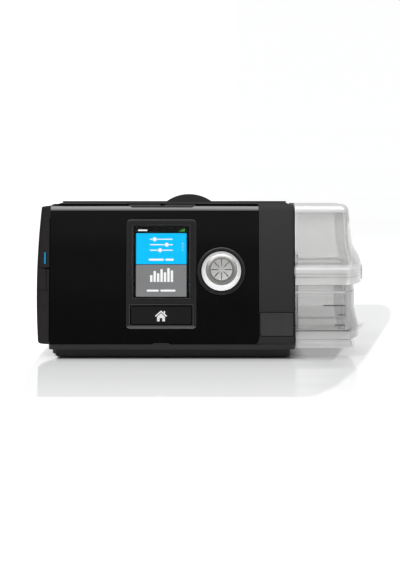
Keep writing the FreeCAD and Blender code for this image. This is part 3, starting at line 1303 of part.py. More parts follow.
def volute_half(label, low, high, keep_low):
    """One half of the volute with half of its round outlet, split at the port's height."""
    piece = blower_body(label, "0")
    skin = "volute_wall"
    nozzle_y = "inlet_port_y - blower_y"
    pad(piece, "scroll", "XY", low, high, spiral())
    pad(piece, "nozzle", "YZ", "0", "nozzle_end", circle(nozzle_y, "port_z", "tube_radius"))
    wide = "overall_depth"
    away = ("port_z", f"port_z + {wide}") if keep_low else (f"port_z - {wide}", "port_z")
    room = (f"{low} + {skin}", "port_z + 1") if keep_low else ("port_z - 1", f"{high} - {skin}")
    cut(piece, "split", "XY", *away, box(f"0 - {wide}", f"0 - {wide}", wide, wide))
    cut(piece, "scroll_room", "XY", *room, spiral(skin))
    cut(piece, "nozzle_bore", "YZ", "volute_growth", "nozzle_end + 1",
        circle(nozzle_y, "port_z", f"tube_radius - {skin}"))
    return piece


def make_volute_base():
    piece = volute_half("volute_base", "volute_floor", "port_z", True)
    cut(piece, "eye", "XY", "volute_floor - 1", "volute_floor + volute_wall + 1",
        circle("0", "0", "fan_eye"))
    return piece


def make_volute_cover():
    piece = volute_half("volute_cover", "port_z", "volute_roof", False)
    cut(piece, "shaft_hole", "XY", "volute_roof - volute_wall - 1", "volute_roof + 1",
        circle("0", "0", "bearing_radius"))
    return piece


def make_impeller():
    """Backward-curved fan: hub, back plate and a ring of bent blades."""
    low = "volute_floor + volute_wall + 2"
    piece = blower_body("impeller", low)
    tall = "fan_height"
    thin = "blade_thickness"
    revolve(piece, "hub", "XZ", "V",
            outline(("motor_shaft", "2"), ("hub_radius * 0.6", "2"),
                    ("via", "hub_radius + 1", f"{tall} * 0.6"), ("fan_radius * 0.75", f"{tall}"),
                    ("fan_radius", f"{tall}"), ("fan_radius", f"{tall} + {thin}"),
                    ("motor_shaft", f"{tall} + {thin}")))
    inner, outer = "(hub_radius + 2)", "(fan_radius - 0.5)"
    blade = pad(piece, "blade", "XY", "0", tall,
                outline((inner, "0"), ("via", f"({inner} + {outer}) / 2 + 1", "2.2"),
                        (f"{outer} * cos(28)", f"{outer} * sin(28)"),
                        (f"{outer} * cos(28) - {thin} * 0.7", f"{outer} * sin(28) + {thin} * 0.7"),
                        ("via", f"({inner} + {outer}) / 2 + 0.2", f"2.2 + {thin}"),
                        (inner, thin)))
    repeat_round(piece, blade, "Z_Axis", "fan_blades")
    return piece


def make_motor_shaft():
    piece = blower_body("motor_shaft", "volute_floor + volute_wall + 3")
    top = "volute_roof + motor_height - 3 - volute_floor - volute_wall - 3"
    pad(piece, "rod", "XY", "0", top, circle("0", "0", "motor_shaft"))
    return piece


def make_motor():
    """Motor can with a rounded head, a flange and a hollow for the shaft and bearings."""
    piece = blower_body("blower_motor", "volute_roof")
    tall = "motor_height"
    revolve(piece, "can", "XZ", "V",
            outline(("motor_shaft + 1", "bearing_height"), ("bearing_radius", "bearing_height"),
                    ("bearing_radius", "0"), ("motor_radius + 3", "0"), ("motor_radius + 3", "2"),
                    ("motor_radius", "2"), ("motor_radius", f"{tall} - 4"),
                    ("via", "motor_radius - 1.2", f"{tall} - 1.2"), ("motor_radius - 4", tall),
                    ("0", tall), ("0", f"{tall} - 1.5"), ("bearing_radius", f"{tall} - 1.5"),
                    ("bearing_radius", f"{tall} - 1.5 - bearing_height"),
                    ("motor_shaft + 1", f"{tall} - 1.5 - bearing_height")))
    return piece


def make_motor_bearings():
    piece = blower_body("motor_bearings", "volute_roof")
    tall = "motor_height - 1.5"
    for name, low, high in (("lower", "0", "bearing_height"),
                            ("upper", f"{tall} - bearing_height", tall)):
        pad(piece, name + "_bearing", "XY", low, high,
            ring("0", "0", "bearing_radius", "motor_shaft + running_gap"))
    return piece


def make_blower_duct():
    """Soft convoluted sleeve from the blower's outlet to the bay."""
    piece = body("blower_duct", "nozzle_x - 8", "inlet_port_y", "port_z")
    reach = "bay_left - bay_wall - nozzle_x + 8"
    outer, bore = "tube_radius + tube_wall", "tube_radius"
    waves = 3
    start, pitch = "10", f"(({reach}) - 14) / {waves}"
    points = [("0", bore), ("0", outer)]
    for wave in range(waves):
        low = f"{start} + {pitch} * {wave}"
        points.append((low, outer))
        points.append(("via", f"{low} + {pitch} / 2", f"{outer} + 1.8"))
    points += [(f"{start} + {pitch} * {waves}", outer), (reach, outer), (reach, bore)]
    revolve(piece, "sleeve", "XZ", "H", outline(*points))
    return piece


def make_foam():
    """Sound-damping block between the filter and the blower."""
    piece = body("silencer_foam")
    left = "body_left + wall + panel_gap"
    pad(piece, "block", "XY", "pan_top", "port_z",
        box(f"{left} + 3.4", "blower_y - 28", f"{left} + 3.4 + foam_thickness * 0.7", "blower_y + 20"))
    return piece


# ------------------------------------------------------------------ main board
def make_main_board():
    piece = body("main_board", "board_x", "board_y + board_thickness", "lip_top + 3")
    pad(piece, "board", "XZ", "0", "board_thickness", box("0", "0", "board_length", "board_height"))
    cut(piece, "screw_holes", "XZ", "0 - 1", "board_thickness + 1",
        *[circle(x, z, "1.6") for x in ("4", "board_length - 4")
          for z in ("4", "board_height - 4")])
    return piece


def make_radio_can():
    """Shield can of the radio module, on the back of the main board."""
    piece = body("radio_module", "board_x + 20", "board_y + board_thickness",
                 "lip_top + 3 + board_height - can_height - 6")
    pad(piece, "can", "XZ", "0 - can_depth", "0", box("0", "0", "can_length", "can_height"))
    return piece


# ------------------------------------------------------------------ build and write
PIECES = [
    make_base_pan(), make_feet(), make_screws(), make_main_housing(), make_front_fascia(),
    make_left_cover(), make_cover_panel("card_door", CARD_DOOR, "body_left - card_door_relief"),
    make_cover_panel("adapter_cover", ADAPTER), make_cover_panel("side_light_bar", LIGHT_BAR),
    make_card(), make_card_socket(), make_adapter_socket(), make_bezel(), make_window(),
    make_lcd(), make_display_board(), make_home_button(), make_home_switch(),
    make_light_sensor(), make_dial_ring(), make_dial_knob(), make_dial_trim(), make_dial_cap(),
    make_dial_shaft(), make_dial_bush(), make_dial_encoder(), make_start_button(),
    make_start_switch(), make_switch_bracket(), make_filter_cover(), make_air_filter(),
    make_outlet_connector(), make_outlet_seal(), make_outlet_duct(), make_power_inlet(),
    make_power_pin(), make_tub_bay(), make_bay_seals(), make_heater_cradle(),
    make_heater_plate(), make_tub_lid(), make_tub_base(), make_hinge_pin(), make_tub_seal(),
    make_tub_plate(), make_tub_baffle(), make_blower_mount(), make_volute_base(),
    make_volute_cover(), make_impeller(), make_motor_shaft(), make_motor(),
    make_motor_bearings(), make_blower_duct(), make_foam(), make_main_board(), make_radio_can(),
]

document.recompute()
for item in document.Objects:
    if "Invalid" in item.State or "Error" in item.State:
        raise ValueError(f"{item.Label} did not build: {item.State}")
for piece in PIECES:
    if piece.Shape.isNull() or not piece.Shape.isValid() or not piece.Shape.Solids:
        raise ValueError(f"{piece.Label} has no valid solid")

os.makedirs("parts", exist_ok=True)
for piece in PIECES:
    piece.Shape.exportStep(f"parts/{piece.Label}.step")
    print(f"{piece.Label}: {len(piece.Shape.Solids)} solids, {piece.Shape.Volume:.0f} mm3")
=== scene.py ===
# A bedside positive-airway-pressure machine with its heated water tub, dressed in its real
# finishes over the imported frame. Metres; X to the right, Y to the back, Z up.
import math

import bmesh
import bpy
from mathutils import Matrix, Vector


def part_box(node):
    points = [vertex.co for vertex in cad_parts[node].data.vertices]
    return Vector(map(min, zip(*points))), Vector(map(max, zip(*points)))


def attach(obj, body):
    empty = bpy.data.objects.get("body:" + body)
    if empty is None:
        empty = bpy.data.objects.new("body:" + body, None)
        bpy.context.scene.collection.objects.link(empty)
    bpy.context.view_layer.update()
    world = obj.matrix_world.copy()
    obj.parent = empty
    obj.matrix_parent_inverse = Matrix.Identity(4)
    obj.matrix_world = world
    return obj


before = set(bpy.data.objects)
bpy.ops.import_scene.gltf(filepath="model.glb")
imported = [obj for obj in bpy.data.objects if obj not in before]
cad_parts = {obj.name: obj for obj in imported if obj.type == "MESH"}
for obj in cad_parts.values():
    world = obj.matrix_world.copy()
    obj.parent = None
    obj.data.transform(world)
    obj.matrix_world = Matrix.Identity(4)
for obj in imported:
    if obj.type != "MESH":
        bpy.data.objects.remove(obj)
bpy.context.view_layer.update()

# ---------------------------------------------------------------- base pan, feet and screws
# The pan is the dark moulded foot of the machine, in glass-filled plastic with a fine
# spark-eroded skin. It stands on four rubber pads and takes four steel screws from below.
NOISE_LOW, NOISE_HIGH = 0.3, 0.7
MOTTLE = 0.02
DRAWN_DEPTH = 0.000004


def finish(name, roughness, **sockets):
    """A new material; sockets are set straight on its shader."""
    material = bpy.data.materials.new(name)
    material.use_nodes = True
    shader = shader_of(material)
    shader.inputs["Roughness"].default_value = roughness
    for socket, value in sockets.items():
        shader.inputs[socket.replace("_", " ")].default_value = value
    return material


def shader_of(material):
    return material.node_tree.nodes["Principled BSDF"]


def node(material, kind, **settings):
    """Add a node; a setting that starts with in_ is one of its inputs, by name or number."""
    made = material.node_tree.nodes.new("ShaderNode" + kind)
    for key, value in settings.items():
        if key.startswith("in_"):
            socket = key[3:].replace("_", " ")
            made.inputs[int(socket) if socket.isdigit() else socket].default_value = value
        else:
            setattr(made, key, value)
    return made


def wire(material, start, end):
    material.node_tree.links.new(start, end)


def feed(material, value, socket):
    """Let a value drive one of the shader's own sockets."""
    wire(material, value, shader_of(material).inputs[socket])


def ranged(material, value, low, high, start=0.0, end=1.0):
    """Carry a value's run from low to high over to the run from start to end."""
    made = node(material, "MapRange", in_1=low, in_2=high, in_3=start, in_4=end)
    wire(material, value, made.inputs[0])
    return made.outputs[0]


def speckle(material, size, detail=3.0):
    """Noise whose blotches are about size metres across, tied to the piece itself."""
    place = node(material, "TexCoord")
    noise = node(material, "TexNoise", in_Scale=1 / size, in_Detail=detail)
    wire(material, place.outputs["Object"], noise.inputs["Vector"])
    return noise.outputs["Fac"]


def spread(material, value, low, high):
    """Stretch a noise value's middle to the range from low to high."""
    return ranged(material, value, NOISE_LOW, NOISE_HIGH, low, high)


def mixed(material, value, dark, light):
    """A colour between dark and light, by a value from 0 to 1."""
    mix = node(material, "Mix", data_type="RGBA")
    mix.inputs[6].default_value = (*dark, 1)
    mix.inputs[7].default_value = (*light, 1)
    wire(material, value, mix.inputs[0])
    return mix.outputs[2]


def shade(material, value, dark, light):
    """Colour a surface from dark to light by a value from 0 to 1."""
    feed(material, mixed(material, value, dark, light), "Base Color")


def emboss(material, value, depth):
    """Raise and lower the surface by depth metres."""
    bump = node(material, "Bump", in_Strength=1.0, in_Distance=depth)
    wire(material, value, bump.inputs["Height"])
    feed(material, bump.outputs["Normal"], "Normal")


def grained(name, roughness, grain=0.0005, depth=0.00002, gloss=0.3):
    """Moulded plastic before its colour: a fine grain in relief, which also varies its sheen."""
    material = finish(name, roughness, Specular_IOR_Level=gloss)
    fine = speckle(material, grain, detail=2.0)
    feed(material, spread(material, fine, roughness * 0.9, roughness * 1.1), "Roughness")
    emboss(material, fine, depth)
    return material


def moulded(name, colour, roughness, **skin):
    """Moulded plastic in one colour, with faint mottling; skin is its grain, depth and gloss."""
    material = grained(name, roughness, **skin)
    mottle = spread(material, speckle(material, MOTTLE), 0, 1)
    shade(material, mottle, [c * 0.9 for c in colour], [c * 1.1 for c in colour])
    return material


def metal(name, colour, roughness, grain=0.0004, stretch=(1, 1, 1)):
    """Bare metal with a drawn or rolled grain; a small stretch draws the grain out that way."""
    material = finish(name, roughness, Metallic=1.0)
    scale = node(material, "Mapping", in_Scale=stretch)
    noise = node(material, "TexNoise", in_Scale=1 / grain, in_Detail=4.0)
    wire(material, node(material, "TexCoord").outputs["Object"], scale.inputs["Vector"])
    wire(material, scale.outputs["Vector"], noise.inputs["Vector"])
    value = noise.outputs["Fac"]
    shade(material, spread(material, value, 0, 1), [c * 0.85 for c in colour], colour)
    feed(material, spread(material, value, roughness * 0.8, roughness * 1.25), "Roughness")
    emboss(material, value, DRAWN_DEPTH)
    return material


def dress(material, *names):
    """Give frame pieces their finish."""
    for name in names:
        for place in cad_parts[name].material_slots:
            place.material = material


dress(moulded("pan_plastic", (0.013, 0.012, 0.012), roughness=0.5), "base_pan")
dress(moulded("foot_rubber", (0.012, 0.012, 0.012), roughness=0.85, grain=0.0008), "rubber_feet")
steel = metal("plain_steel", (0.56, 0.56, 0.58), roughness=0.32)
dress(steel, "base_screws")

# ---------------------------------------------------------------- upper housing
# One large moulding in charcoal plastic that carries everything else. Its right end is
# left bare as a matt strip beside the gloss fascia, and its skin is finely spark-eroded.
MATT_SKIN = {"roughness": 0.6, "grain": 0.0006, "depth": 0.00002, "gloss": 0.0}
CHARCOAL_PAINTED_SHADE, CHARCOAL_PAINTED_LIGHT = (0.035, 0.0345, 0.0345), (0.057, 0.0565, 0.0565)
PAINTED_SHADE_FOOT, PAINTED_SHADE_TOP = 0.03, 0.114
BLACK = (0.002, 0.002, 0.002)
MM = 0.001
ROOF_LEFT, START_LEFT, START_RIGHT, FASCIA_RIGHT, ROOF_RIGHT = -112.5, -56.0, -2.0, 44.4, 70.5
FASCIA_SEAM, START_BACK, ROOF_BACK = -47.4, -38.0, 44.6
SHADE_BAR_FOOT, SHADE_BAR_DEEP, SHADE_BAR_TALL, SHADE_BAR_LAP = 115.95, 1.0, 0.85, 1.0


def measured(material, axis, low, high, start=0.0, end=1.0):
    """How far a point lies along an axis of the piece, from start at low to end at high."""
    place = node(material, "SeparateXYZ")
    wire(material, node(material, "TexCoord").outputs["Object"], place.inputs[0])
    return ranged(material, place.outputs[axis], low, high, start, end)


def placed(name, mesh, material):
    """Put a finished mesh into the scene in its material."""
    data = bpy.data.meshes.new(name)
    mesh.to_mesh(data)
    mesh.free()
    data.materials.append(material)
    made = bpy.data.objects.new(name, data)
    bpy.context.scene.collection.objects.link(made)
    return made


def fitted(name, mesh, material, body):
    """Fit a finished mesh to the machine as a piece that moves with one of its bodies."""
    bmesh.ops.recalc_face_normals(mesh, faces=mesh.faces)
    made = placed(name, mesh, material)
    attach(made, body)


def seam_and_shade_bar(name, left, right, front, foot=SHADE_BAR_FOOT, deep=SHADE_BAR_DEEP, tall=SHADE_BAR_TALL):
    """A thin black bar along the roof, partly seam and partly painted shade, with its edges bevelled;
    sizes in mm.
    """
    mesh = bmesh.new()
    for vert in bmesh.ops.create_cube(mesh, size=1.0)["verts"]:
        vert.co = Vector([(low + extent * (0.5 + at)) * MM
                          for low, extent, at in zip((left, front, foot), (right - left, deep, tall),
                                                     vert.co)])
    bmesh.ops.bevel(mesh, geom=mesh.edges[:], offset=min(deep, tall) * MM / 4, segments=2,
                    affect="EDGES")
    fitted(name, mesh, seam_and_shade_black, "device")


# The charcoal is painted darker towards the foot and lighter towards the roof, a painted shade for how
# the light falls on it.
shell_plastic_painted_shade = grained("shell_plastic_painted_shade", **MATT_SKIN)
shade(shell_plastic_painted_shade, measured(shell_plastic_painted_shade, "Z", PAINTED_SHADE_FOOT, PAINTED_SHADE_TOP), CHARCOAL_PAINTED_SHADE, CHARCOAL_PAINTED_LIGHT)
dress(shell_plastic_painted_shade, "main_housing")

# Dark bars lie along the roof's back edge, along the fascia's back edge each side of the start key and
# along the key's own back edge. They mark the seams there and are partly painted shade, for the dark the
# roof shows at these edges. They stand about 0.8 mm out of the roof.
seam_and_shade_black = moulded("seam_and_shade_black", BLACK, roughness=0.9, gloss=0.0)
seam_and_shade_bar("roof_back_seam_and_shade", ROOF_LEFT, ROOF_RIGHT, ROOF_BACK, foot=115.9, tall=0.95)
seam_and_shade_bar("roof_left_seam_and_shade", ROOF_LEFT, START_LEFT, FASCIA_SEAM)
seam_and_shade_bar("roof_right_seam_and_shade", START_RIGHT, FASCIA_RIGHT, FASCIA_SEAM)
seam_and_shade_bar("key_back_seam_and_shade", START_LEFT - SHADE_BAR_LAP, START_RIGHT + SHADE_BAR_LAP, START_BACK, deep=0.9)

# ---------------------------------------------------------------- rating plate
# A thin satin plate, left bare, lies in the foot of the strip beside the fascia. Fine dark
# gaps run round it where it is snapped in.
FACE_LEAN = math.radians(10)
FACE_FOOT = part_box("front_fascia")[0]
GAP_LEFT, GAP_RIGHT, GAP_LOW, GAP_HIGH, GAP_BEND, GAP_THICK = 45.2, 71.2, 6.0, 24.8, 1.6, 0.03
GAP_WIDE, GAP_WIDE_RIGHT = 0.6, 0.4
PLATE_BEND, PLATE_THICK = 1.2, 0.12


def on_face(x, rise, out):
    """A point on the leaning front, in mm: across, up its slope and out from its surface."""
    return Vector((x * MM,
                   FACE_FOOT[1] + (rise * math.sin(FACE_LEAN) - out * math.cos(FACE_LEAN)) * MM,
                   FACE_FOOT[2] + (rise * math.cos(FACE_LEAN) + out * math.sin(FACE_LEAN)) * MM))


def rounded(left, low, right, high, bend, steps=5):
    """Outline of a rectangle with rounded corners, in mm on the face."""
    points = []
    for x, y, start in ((right - bend, high - bend, 0), (left + bend, high - bend, 90),
                        (left + bend, low + bend, 180), (right - bend, low + bend, 270)):
        for step in range(steps + 1):
            angle = math.radians(start + 90 * step / steps)
            points.append((x + bend * math.cos(angle), y + bend * math.sin(angle)))
    return points


def add_plate(mesh, back, front):
    """Add a thin closed plate between two rings of corners."""
    back = [mesh.verts.new(corner) for corner in back]
    front = [mesh.verts.new(corner) for corner in front]
    mesh.faces.new(front)
    mesh.faces.new(back[::-1])
    for index in range(len(back)):
        after = (index + 1) % len(back)
        mesh.faces.new((back[index], back[after], front[after], front[index]))


def laid_on_face(name, outlines, low, high, material, body="device"):
    """Thin plates on the face, from outlines, between two heights out from its surface."""
    mesh = bmesh.new()
    for outline in outlines:
        add_plate(mesh, [on_face(x, y, low) for x, y in outline],
                  [on_face(x, y, high) for x, y in outline])
    fitted(name, mesh, material, body)


plate_plastic = moulded("plate_plastic", (0.044, 0.0435, 0.0435), roughness=0.5, grain=0.0004,
                        depth=0.000008, gloss=0.1)
laid_on_face("rating_plate",
             [rounded(GAP_LEFT + GAP_WIDE, GAP_LOW + GAP_WIDE, GAP_RIGHT - GAP_WIDE_RIGHT,
                      GAP_HIGH - GAP_WIDE, PLATE_BEND)],
             0.0, PLATE_THICK, plate_plastic)
gap_black = moulded("gap_black", BLACK, roughness=0.9, gloss=0.0)
laid_on_face("plate_gap", [rounded(GAP_LEFT, GAP_LOW, GAP_RIGHT, GAP_HIGH, GAP_BEND)],
             0.0, GAP_THICK, gap_black)

# ---------------------------------------------------------------- gloss fascia
# A black acrylic skin over the front and the rounded top front edge. It is polished in
# the mould, so it shows soft reflections and only a trace of handling.
fascia_gloss = finish("fascia_gloss", 0.05, IOR=1.46)
shade(fascia_gloss, spread(fascia_gloss, speckle(fascia_gloss, 0.03), 0, 1),
      (0.0022, 0.0022, 0.0024), (0.0030, 0.0030, 0.0032))
feed(fascia_gloss, spread(fascia_gloss, speckle(fascia_gloss, 0.012), 0.04, 0.075), "Roughness")
emboss(fascia_gloss, speckle(fascia_gloss, 0.02, detail=1.0), 0.000003)
dress(fascia_gloss, "front_fascia")

# ---------------------------------------------------------------- bowed left cover
# A clip-on end moulding in the shell's plastic. Let into it are the memory card's door,
# the cover of the adapter socket and a small blue light guide near its front edge.
SEAM_STEP, SEAM_PROUD, SEAM_SUNK = 1.5, 0.1, 0.2
FAR_FRONT = -0.3
GUIDE_LOW, GUIDE_HIGH = 71.6, 79.8

cover_plastic = moulded("cover_plastic", (0.0310, 0.0280, 0.0287), roughness=0.5, grain=0.0006,
                        gloss=0.0)
dress(cover_plastic, "left_side_cover", "card_door", "adapter_cover")

guide = finish("blue_light_guide", 0.25, Specular_IOR_Level=0.1, Emission_Strength=0.36)
glow = speckle(guide, 0.004)
shade(guide, glow, (0.004, 0.05, 0.10), (0.006, 0.07, 0.14))
feed(guide, mixed(guide, glow, (0.01, 0.36, 0.68), (0.04, 0.56, 0.95)), "Emission Color")
dress(guide, "side_light_bar")


def front_of(parts, x, z):
    """How far to the front, in metres, these parts reach at a place in mm."""
    found = []
    for part in parts:
        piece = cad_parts[part]
        to_piece = piece.matrix_world.inverted()
        start = to_piece @ Vector((x * MM, FAR_FRONT, z * MM))
        way = (to_piece.to_3x3() @ Vector((0, 1, 0))).normalized()
        hit, place, _, _ = piece.ray_cast(start, way)
        if hit:
            found.append((piece.matrix_world @ place).y)
    return min(found)


def seam_rows(parts, left, right, low, high):
    """Sections along a line on a curved part, each of two corners in front and two behind."""
    tall = high - low > right - left
    steps = max(1, round(max(high - low, right - left) / SEAM_STEP))
    for step in range(steps + 1):
        if tall:
            level = low + (high - low) * step / steps
            ends = ((left, level), (right, level))
        else:
            across = left + (right - left) * step / steps
            ends = ((across, low), (across, high))
        faces = [(x * MM, front_of(parts, x, z), z * MM) for x, z in ends]
        yield [(x, y + shift * MM, z) for shift in (-SEAM_PROUD, SEAM_SUNK) for x, y, z in faces]


def laid_on_curve(name, parts, strokes, material, body):
    """Thin lines that follow the front of curved parts; each is left, right, low and high."""
    mesh = bmesh.new()
    for stroke in strokes:
        rows = [[mesh.verts.new(corner) for corner in row] for row in seam_rows(parts, *stroke)]
        for row, following in zip(rows, rows[1:]):
            for a, b in ((0, 1), (1, 3), (3, 2), (2, 0)):
                mesh.faces.new((row[a], row[b], following[b], following[a]))
        for row in (rows[0], rows[-1]):
            mesh.faces.new((row[0], row[1], row[3], row[2]))
    fitted(name, mesh, material, body)


# Fine dark lines mark the joint with the fascia, the guide's sides and the card door's edges.
laid_on_curve("cover_seams", ("left_side_cover", "side_light_bar", "card_door"),
              ((-114.85, -114.15, 13.0, 106.0),
               (-119.75, -119.2, GUIDE_LOW, GUIDE_HIGH), (-117.6, -117.05, GUIDE_LOW, GUIDE_HIGH),
               (-119.4, -114.95, 67.5, 68.1), (-117.5, -116.9, 51.4, 67.4)),
              gap_black, "device")
dress(moulded("card_plastic", (0.012, 0.013, 0.016), roughness=0.4, grain=0.0003, depth=0.00001),
      "memory_card")
dress(steel, "card_socket")
socket_plastic = moulded("socket_plastic", (0.18, 0.18, 0.18), roughness=0.55)
dress(socket_plastic, "adapter_socket")

# ---------------------------------------------------------------- display
# A satin frame let into the fascia holds a polished pane, the colour screen behind it and
# the wide home key below. The boards behind it are only seen with the fascia off.
PAINTED_HIGHLIGHT_TOP, PAINTED_HIGHLIGHT_LOW = 0.0248, 0.0244
# The frame is painted much lighter along its bottom edge, a painted highlight on its lower bevel.
bezel_plastic_painted_highlight = grained("bezel_plastic_painted_highlight", roughness=0.36, grain=0.0004, depth=0.000008)
shade(bezel_plastic_painted_highlight, measured(bezel_plastic_painted_highlight, "Z", PAINTED_HIGHLIGHT_TOP, PAINTED_HIGHLIGHT_LOW),
      (0.0104, 0.0104, 0.0104), (0.105, 0.105, 0.105))
dress(bezel_plastic_painted_highlight, "screen_bezel")

pane = finish("pane_acrylic", 0.02, IOR=1.2, Transmission_Weight=1.0)
shade(pane, spread(pane, speckle(pane, 0.02), 0, 1), (0.93, 0.94, 0.95), (0.97, 0.97, 0.97))
emboss(pane, speckle(pane, 0.015, detail=1.0), 0.000002)
dress(pane, "screen_window")
lens = finish("sensor_lens", 0.12, IOR=1.49)
shade(lens, spread(lens, speckle(lens, 0.0006), 0, 1), (0.004, 0.004, 0.005), (0.012, 0.012, 0.014))
dress(lens, "light_sensor_lens")
dress(moulded("screen_black", (0.0012, 0.0012, 0.0014), roughness=0.7, depth=0.000002, gloss=0.0),
      "screen_module")

# The screen's picture is a header with a clock bar and signal bars over two tiles, in mm on
# the face. It lies in three thin layers behind the pane.
SCREEN_LEFT, SCREEN_RIGHT = -48.7, -10.3
HEADER_LOW, TILE_SPLIT, TILE_GAP, PICTURE_LOW, PICTURE_TOP = 85.7, 61.2, 0.5, 36.6, 89.3
LEVEL_BACK, LEVEL_TILE, LEVEL_MARK, LAYER_LAP = -1.395, -1.30, -1.24, 0.01
TILE_BEND, COLUMN_BEND, SIGNAL_BEND = 0.3, 0.3, 0.1
CLOCK_LEFT, CLOCK_RIGHT = SCREEN_LEFT + 1.4, SCREEN_LEFT + 8.6
SLIDER_LEFT, SLIDER_RIGHT, SLIDER_THICK = -38.2, -20.8, 0.75
SLIDER_LEVELS, SLIDER_KNOBS = (80.6, 76.4, 72.2), (-34.6, -25.4, -30.4)
KNOB_RADIUS, KNOB_BREAK = 1.55, 1.9
COLUMN_LEFT, COLUMN_FOOT, COLUMN_STEP, COLUMN_WIDE = -38.0, 47.8, 2.62, 1.8
UPPER_CAPTION, LOWER_CAPTION, CAPTION_THICK = 64.9, 41.2, 1.5
CLOCK_RISE, CLOCK_THICK = 87.5, 1.15
TICK_LEFT, TICK_RIGHT, TICK_MIDDLE, TICK_STEP, TICK_THICK = -13.6, -12.9, 74.8, 2.4, 0.7
SIGNAL_LEFT, SIGNAL_FOOT, SIGNAL_STEP, SIGNAL_WIDE = -15.6, 86.6, 1.05, 0.7
SIGNAL_SHORTEST, SIGNAL_GROWTH = 0.6, 0.5


def lit(name, dark, light, strength):
    """A part of the screen's picture that shines by itself, with the panel's faint mottling."""
    material = finish(name, 0.8, Specular_IOR_Level=0.0, Emission_Strength=strength,
                      Base_Color=(0.001, 0.001, 0.001, 1))
    value = spread(material, speckle(material, 0.004), 0, 1)
    feed(material, mixed(material, value, dark, light), "Emission Color")
    return material


def tile(name, low, high, material, bend=TILE_BEND):
    """One tile of the screen's picture, across its whole width."""
    laid_on_face(name, [rounded(SCREEN_LEFT, low, SCREEN_RIGHT, high, bend)],
                 LEVEL_BACK, LEVEL_TILE, material)


def marks_on_screen(name, outlines, material):
    laid_on_face(name, outlines, LEVEL_TILE - LAYER_LAP, LEVEL_MARK, material)


def bar(left, right, middle, thick):
    return rounded(left, middle - thick / 2, right, middle + thick / 2, thick * 0.48)


def spot(x, y, radius, steps=28):
    return [(x + radius * math.cos(math.tau * step / steps),
             y + radius * math.sin(math.tau * step / steps)) for step in range(steps)]


tile("screen_header", HEADER_LOW, PICTURE_TOP,
     lit("header_black", (0.001, 0.001, 0.001), (0.002, 0.002, 0.002), strength=1.0), bend=0.2)
tile("upper_tile", TILE_SPLIT + TILE_GAP / 2, HEADER_LOW - TILE_GAP,
     lit("tile_blue", (0.0003, 0.53, 1.0), (0.0003, 0.57, 1.04), strength=1.05))
tile("lower_tile", PICTURE_LOW, TILE_SPLIT - TILE_GAP / 2,
     lit("tile_grey", (0.215, 0.216, 0.218), (0.228, 0.229, 0.231), strength=1.05))

# The upper tile shows three sliders over a caption bar, the lower one a week of columns.
sliders = []
for level, knob in zip(SLIDER_LEVELS, SLIDER_KNOBS):
    sliders += [bar(SLIDER_LEFT, knob - KNOB_BREAK, level, SLIDER_THICK),
                bar(knob + KNOB_BREAK, SLIDER_RIGHT, level, SLIDER_THICK),
                spot(knob, level, KNOB_RADIUS)]
columns = []
for day, tall in enumerate((5.2, 8.4, 6.6, 9.8, 7.4, 10.6, 8.8)):
    left = COLUMN_LEFT + COLUMN_STEP * day
    columns.append(rounded(left, COLUMN_FOOT, left + COLUMN_WIDE, COLUMN_FOOT + tall, COLUMN_BEND))
captions = [bar(left, right, level, CAPTION_THICK)
            for left, right, level in ((-39.0, -27.6, UPPER_CAPTION), (-26.4, -20.0, UPPER_CAPTION),
                                       (-40.6, -31.4, LOWER_CAPTION), (-30.2, -18.6, LOWER_CAPTION))]
clock = [bar(CLOCK_LEFT, CLOCK_RIGHT, CLOCK_RISE, CLOCK_THICK)]
ticks = [bar(TICK_LEFT, TICK_RIGHT, TICK_MIDDLE + TICK_STEP * step, TICK_THICK) for step in (-1, 0, 1)]
marks_on_screen("screen_marks", sliders + columns + captions + clock + ticks,
                lit("mark_white", (0.86, 0.87, 0.88), (0.95, 0.95, 0.95), strength=1.1))
signal = []
for step in range(4):
    left = SIGNAL_LEFT + SIGNAL_STEP * step
    tall = SIGNAL_SHORTEST + SIGNAL_GROWTH * step
    signal.append(rounded(left, SIGNAL_FOOT, left + SIGNAL_WIDE, SIGNAL_FOOT + tall, SIGNAL_BEND))
marks_on_screen("signal_bars", signal,
                lit("signal_green", (0.08, 0.5, 0.05), (0.12, 0.62, 0.08), strength=0.9))

board_green = moulded("board_mask", (0.012, 0.085, 0.035), roughness=0.35, grain=0.002, depth=0.00001)
dress(board_green, "display_board")
dress(socket_plastic, "home_switch")
key_plastic = moulded("key_plastic", (0.0075, 0.0075, 0.0078), roughness=0.3, grain=0.0004,
                      depth=0.000005)
dress(key_plastic, "home_button")

# A dark gap runs round the key. Lighter lines over it and round the window are painted highlights, for
# edges catching the light.
FRAME_LEFT, FRAME_LOW, FRAME_RIGHT, FRAME_HIGH = -53.2, 14.6, -5.6, 29.9
EDGE_OUTSET, CORNER_GAP = 0.5, 0.02


def frame_lines(name, left, low, right, high, wide, base, out, material):
    """A rectangle drawn on the face as four thin lines, from its outer size in mm."""
    foot = low + wide + CORNER_GAP
    head = high - wide - CORNER_GAP
    sides = ((left, high - wide, right, high), (left, low, right, low + wide),
             (left, foot, left + wide, head), (right - wide, foot, right, head))
    laid_on_face(name, [[(a, b), (c, b), (c, d), (a, d)] for a, b, c, d in sides],
                 base, out, material)


frame_lines("key_gap", FRAME_LEFT, FRAME_LOW, FRAME_RIGHT, FRAME_HIGH,
            wide=0.75, base=0.75, out=0.84, material=gap_black)
edge_painted_highlight = moulded("edge_painted_highlight", (0.060, 0.060, 0.062), roughness=0.4, grain=0.0004, depth=0.000004)
frame_lines("key_painted_highlight", FRAME_LEFT - EDGE_OUTSET, FRAME_LOW - EDGE_OUTSET,
            FRAME_RIGHT + EDGE_OUTSET, FRAME_HIGH + EDGE_OUTSET,
            wide=0.42, base=0.76, out=0.83, material=edge_painted_highlight)
frame_lines("window_painted_highlight", -51.3, 34.9, -7.8, 91.6,
            wide=0.34, base=0.26, out=0.36, material=edge_painted_highlight)

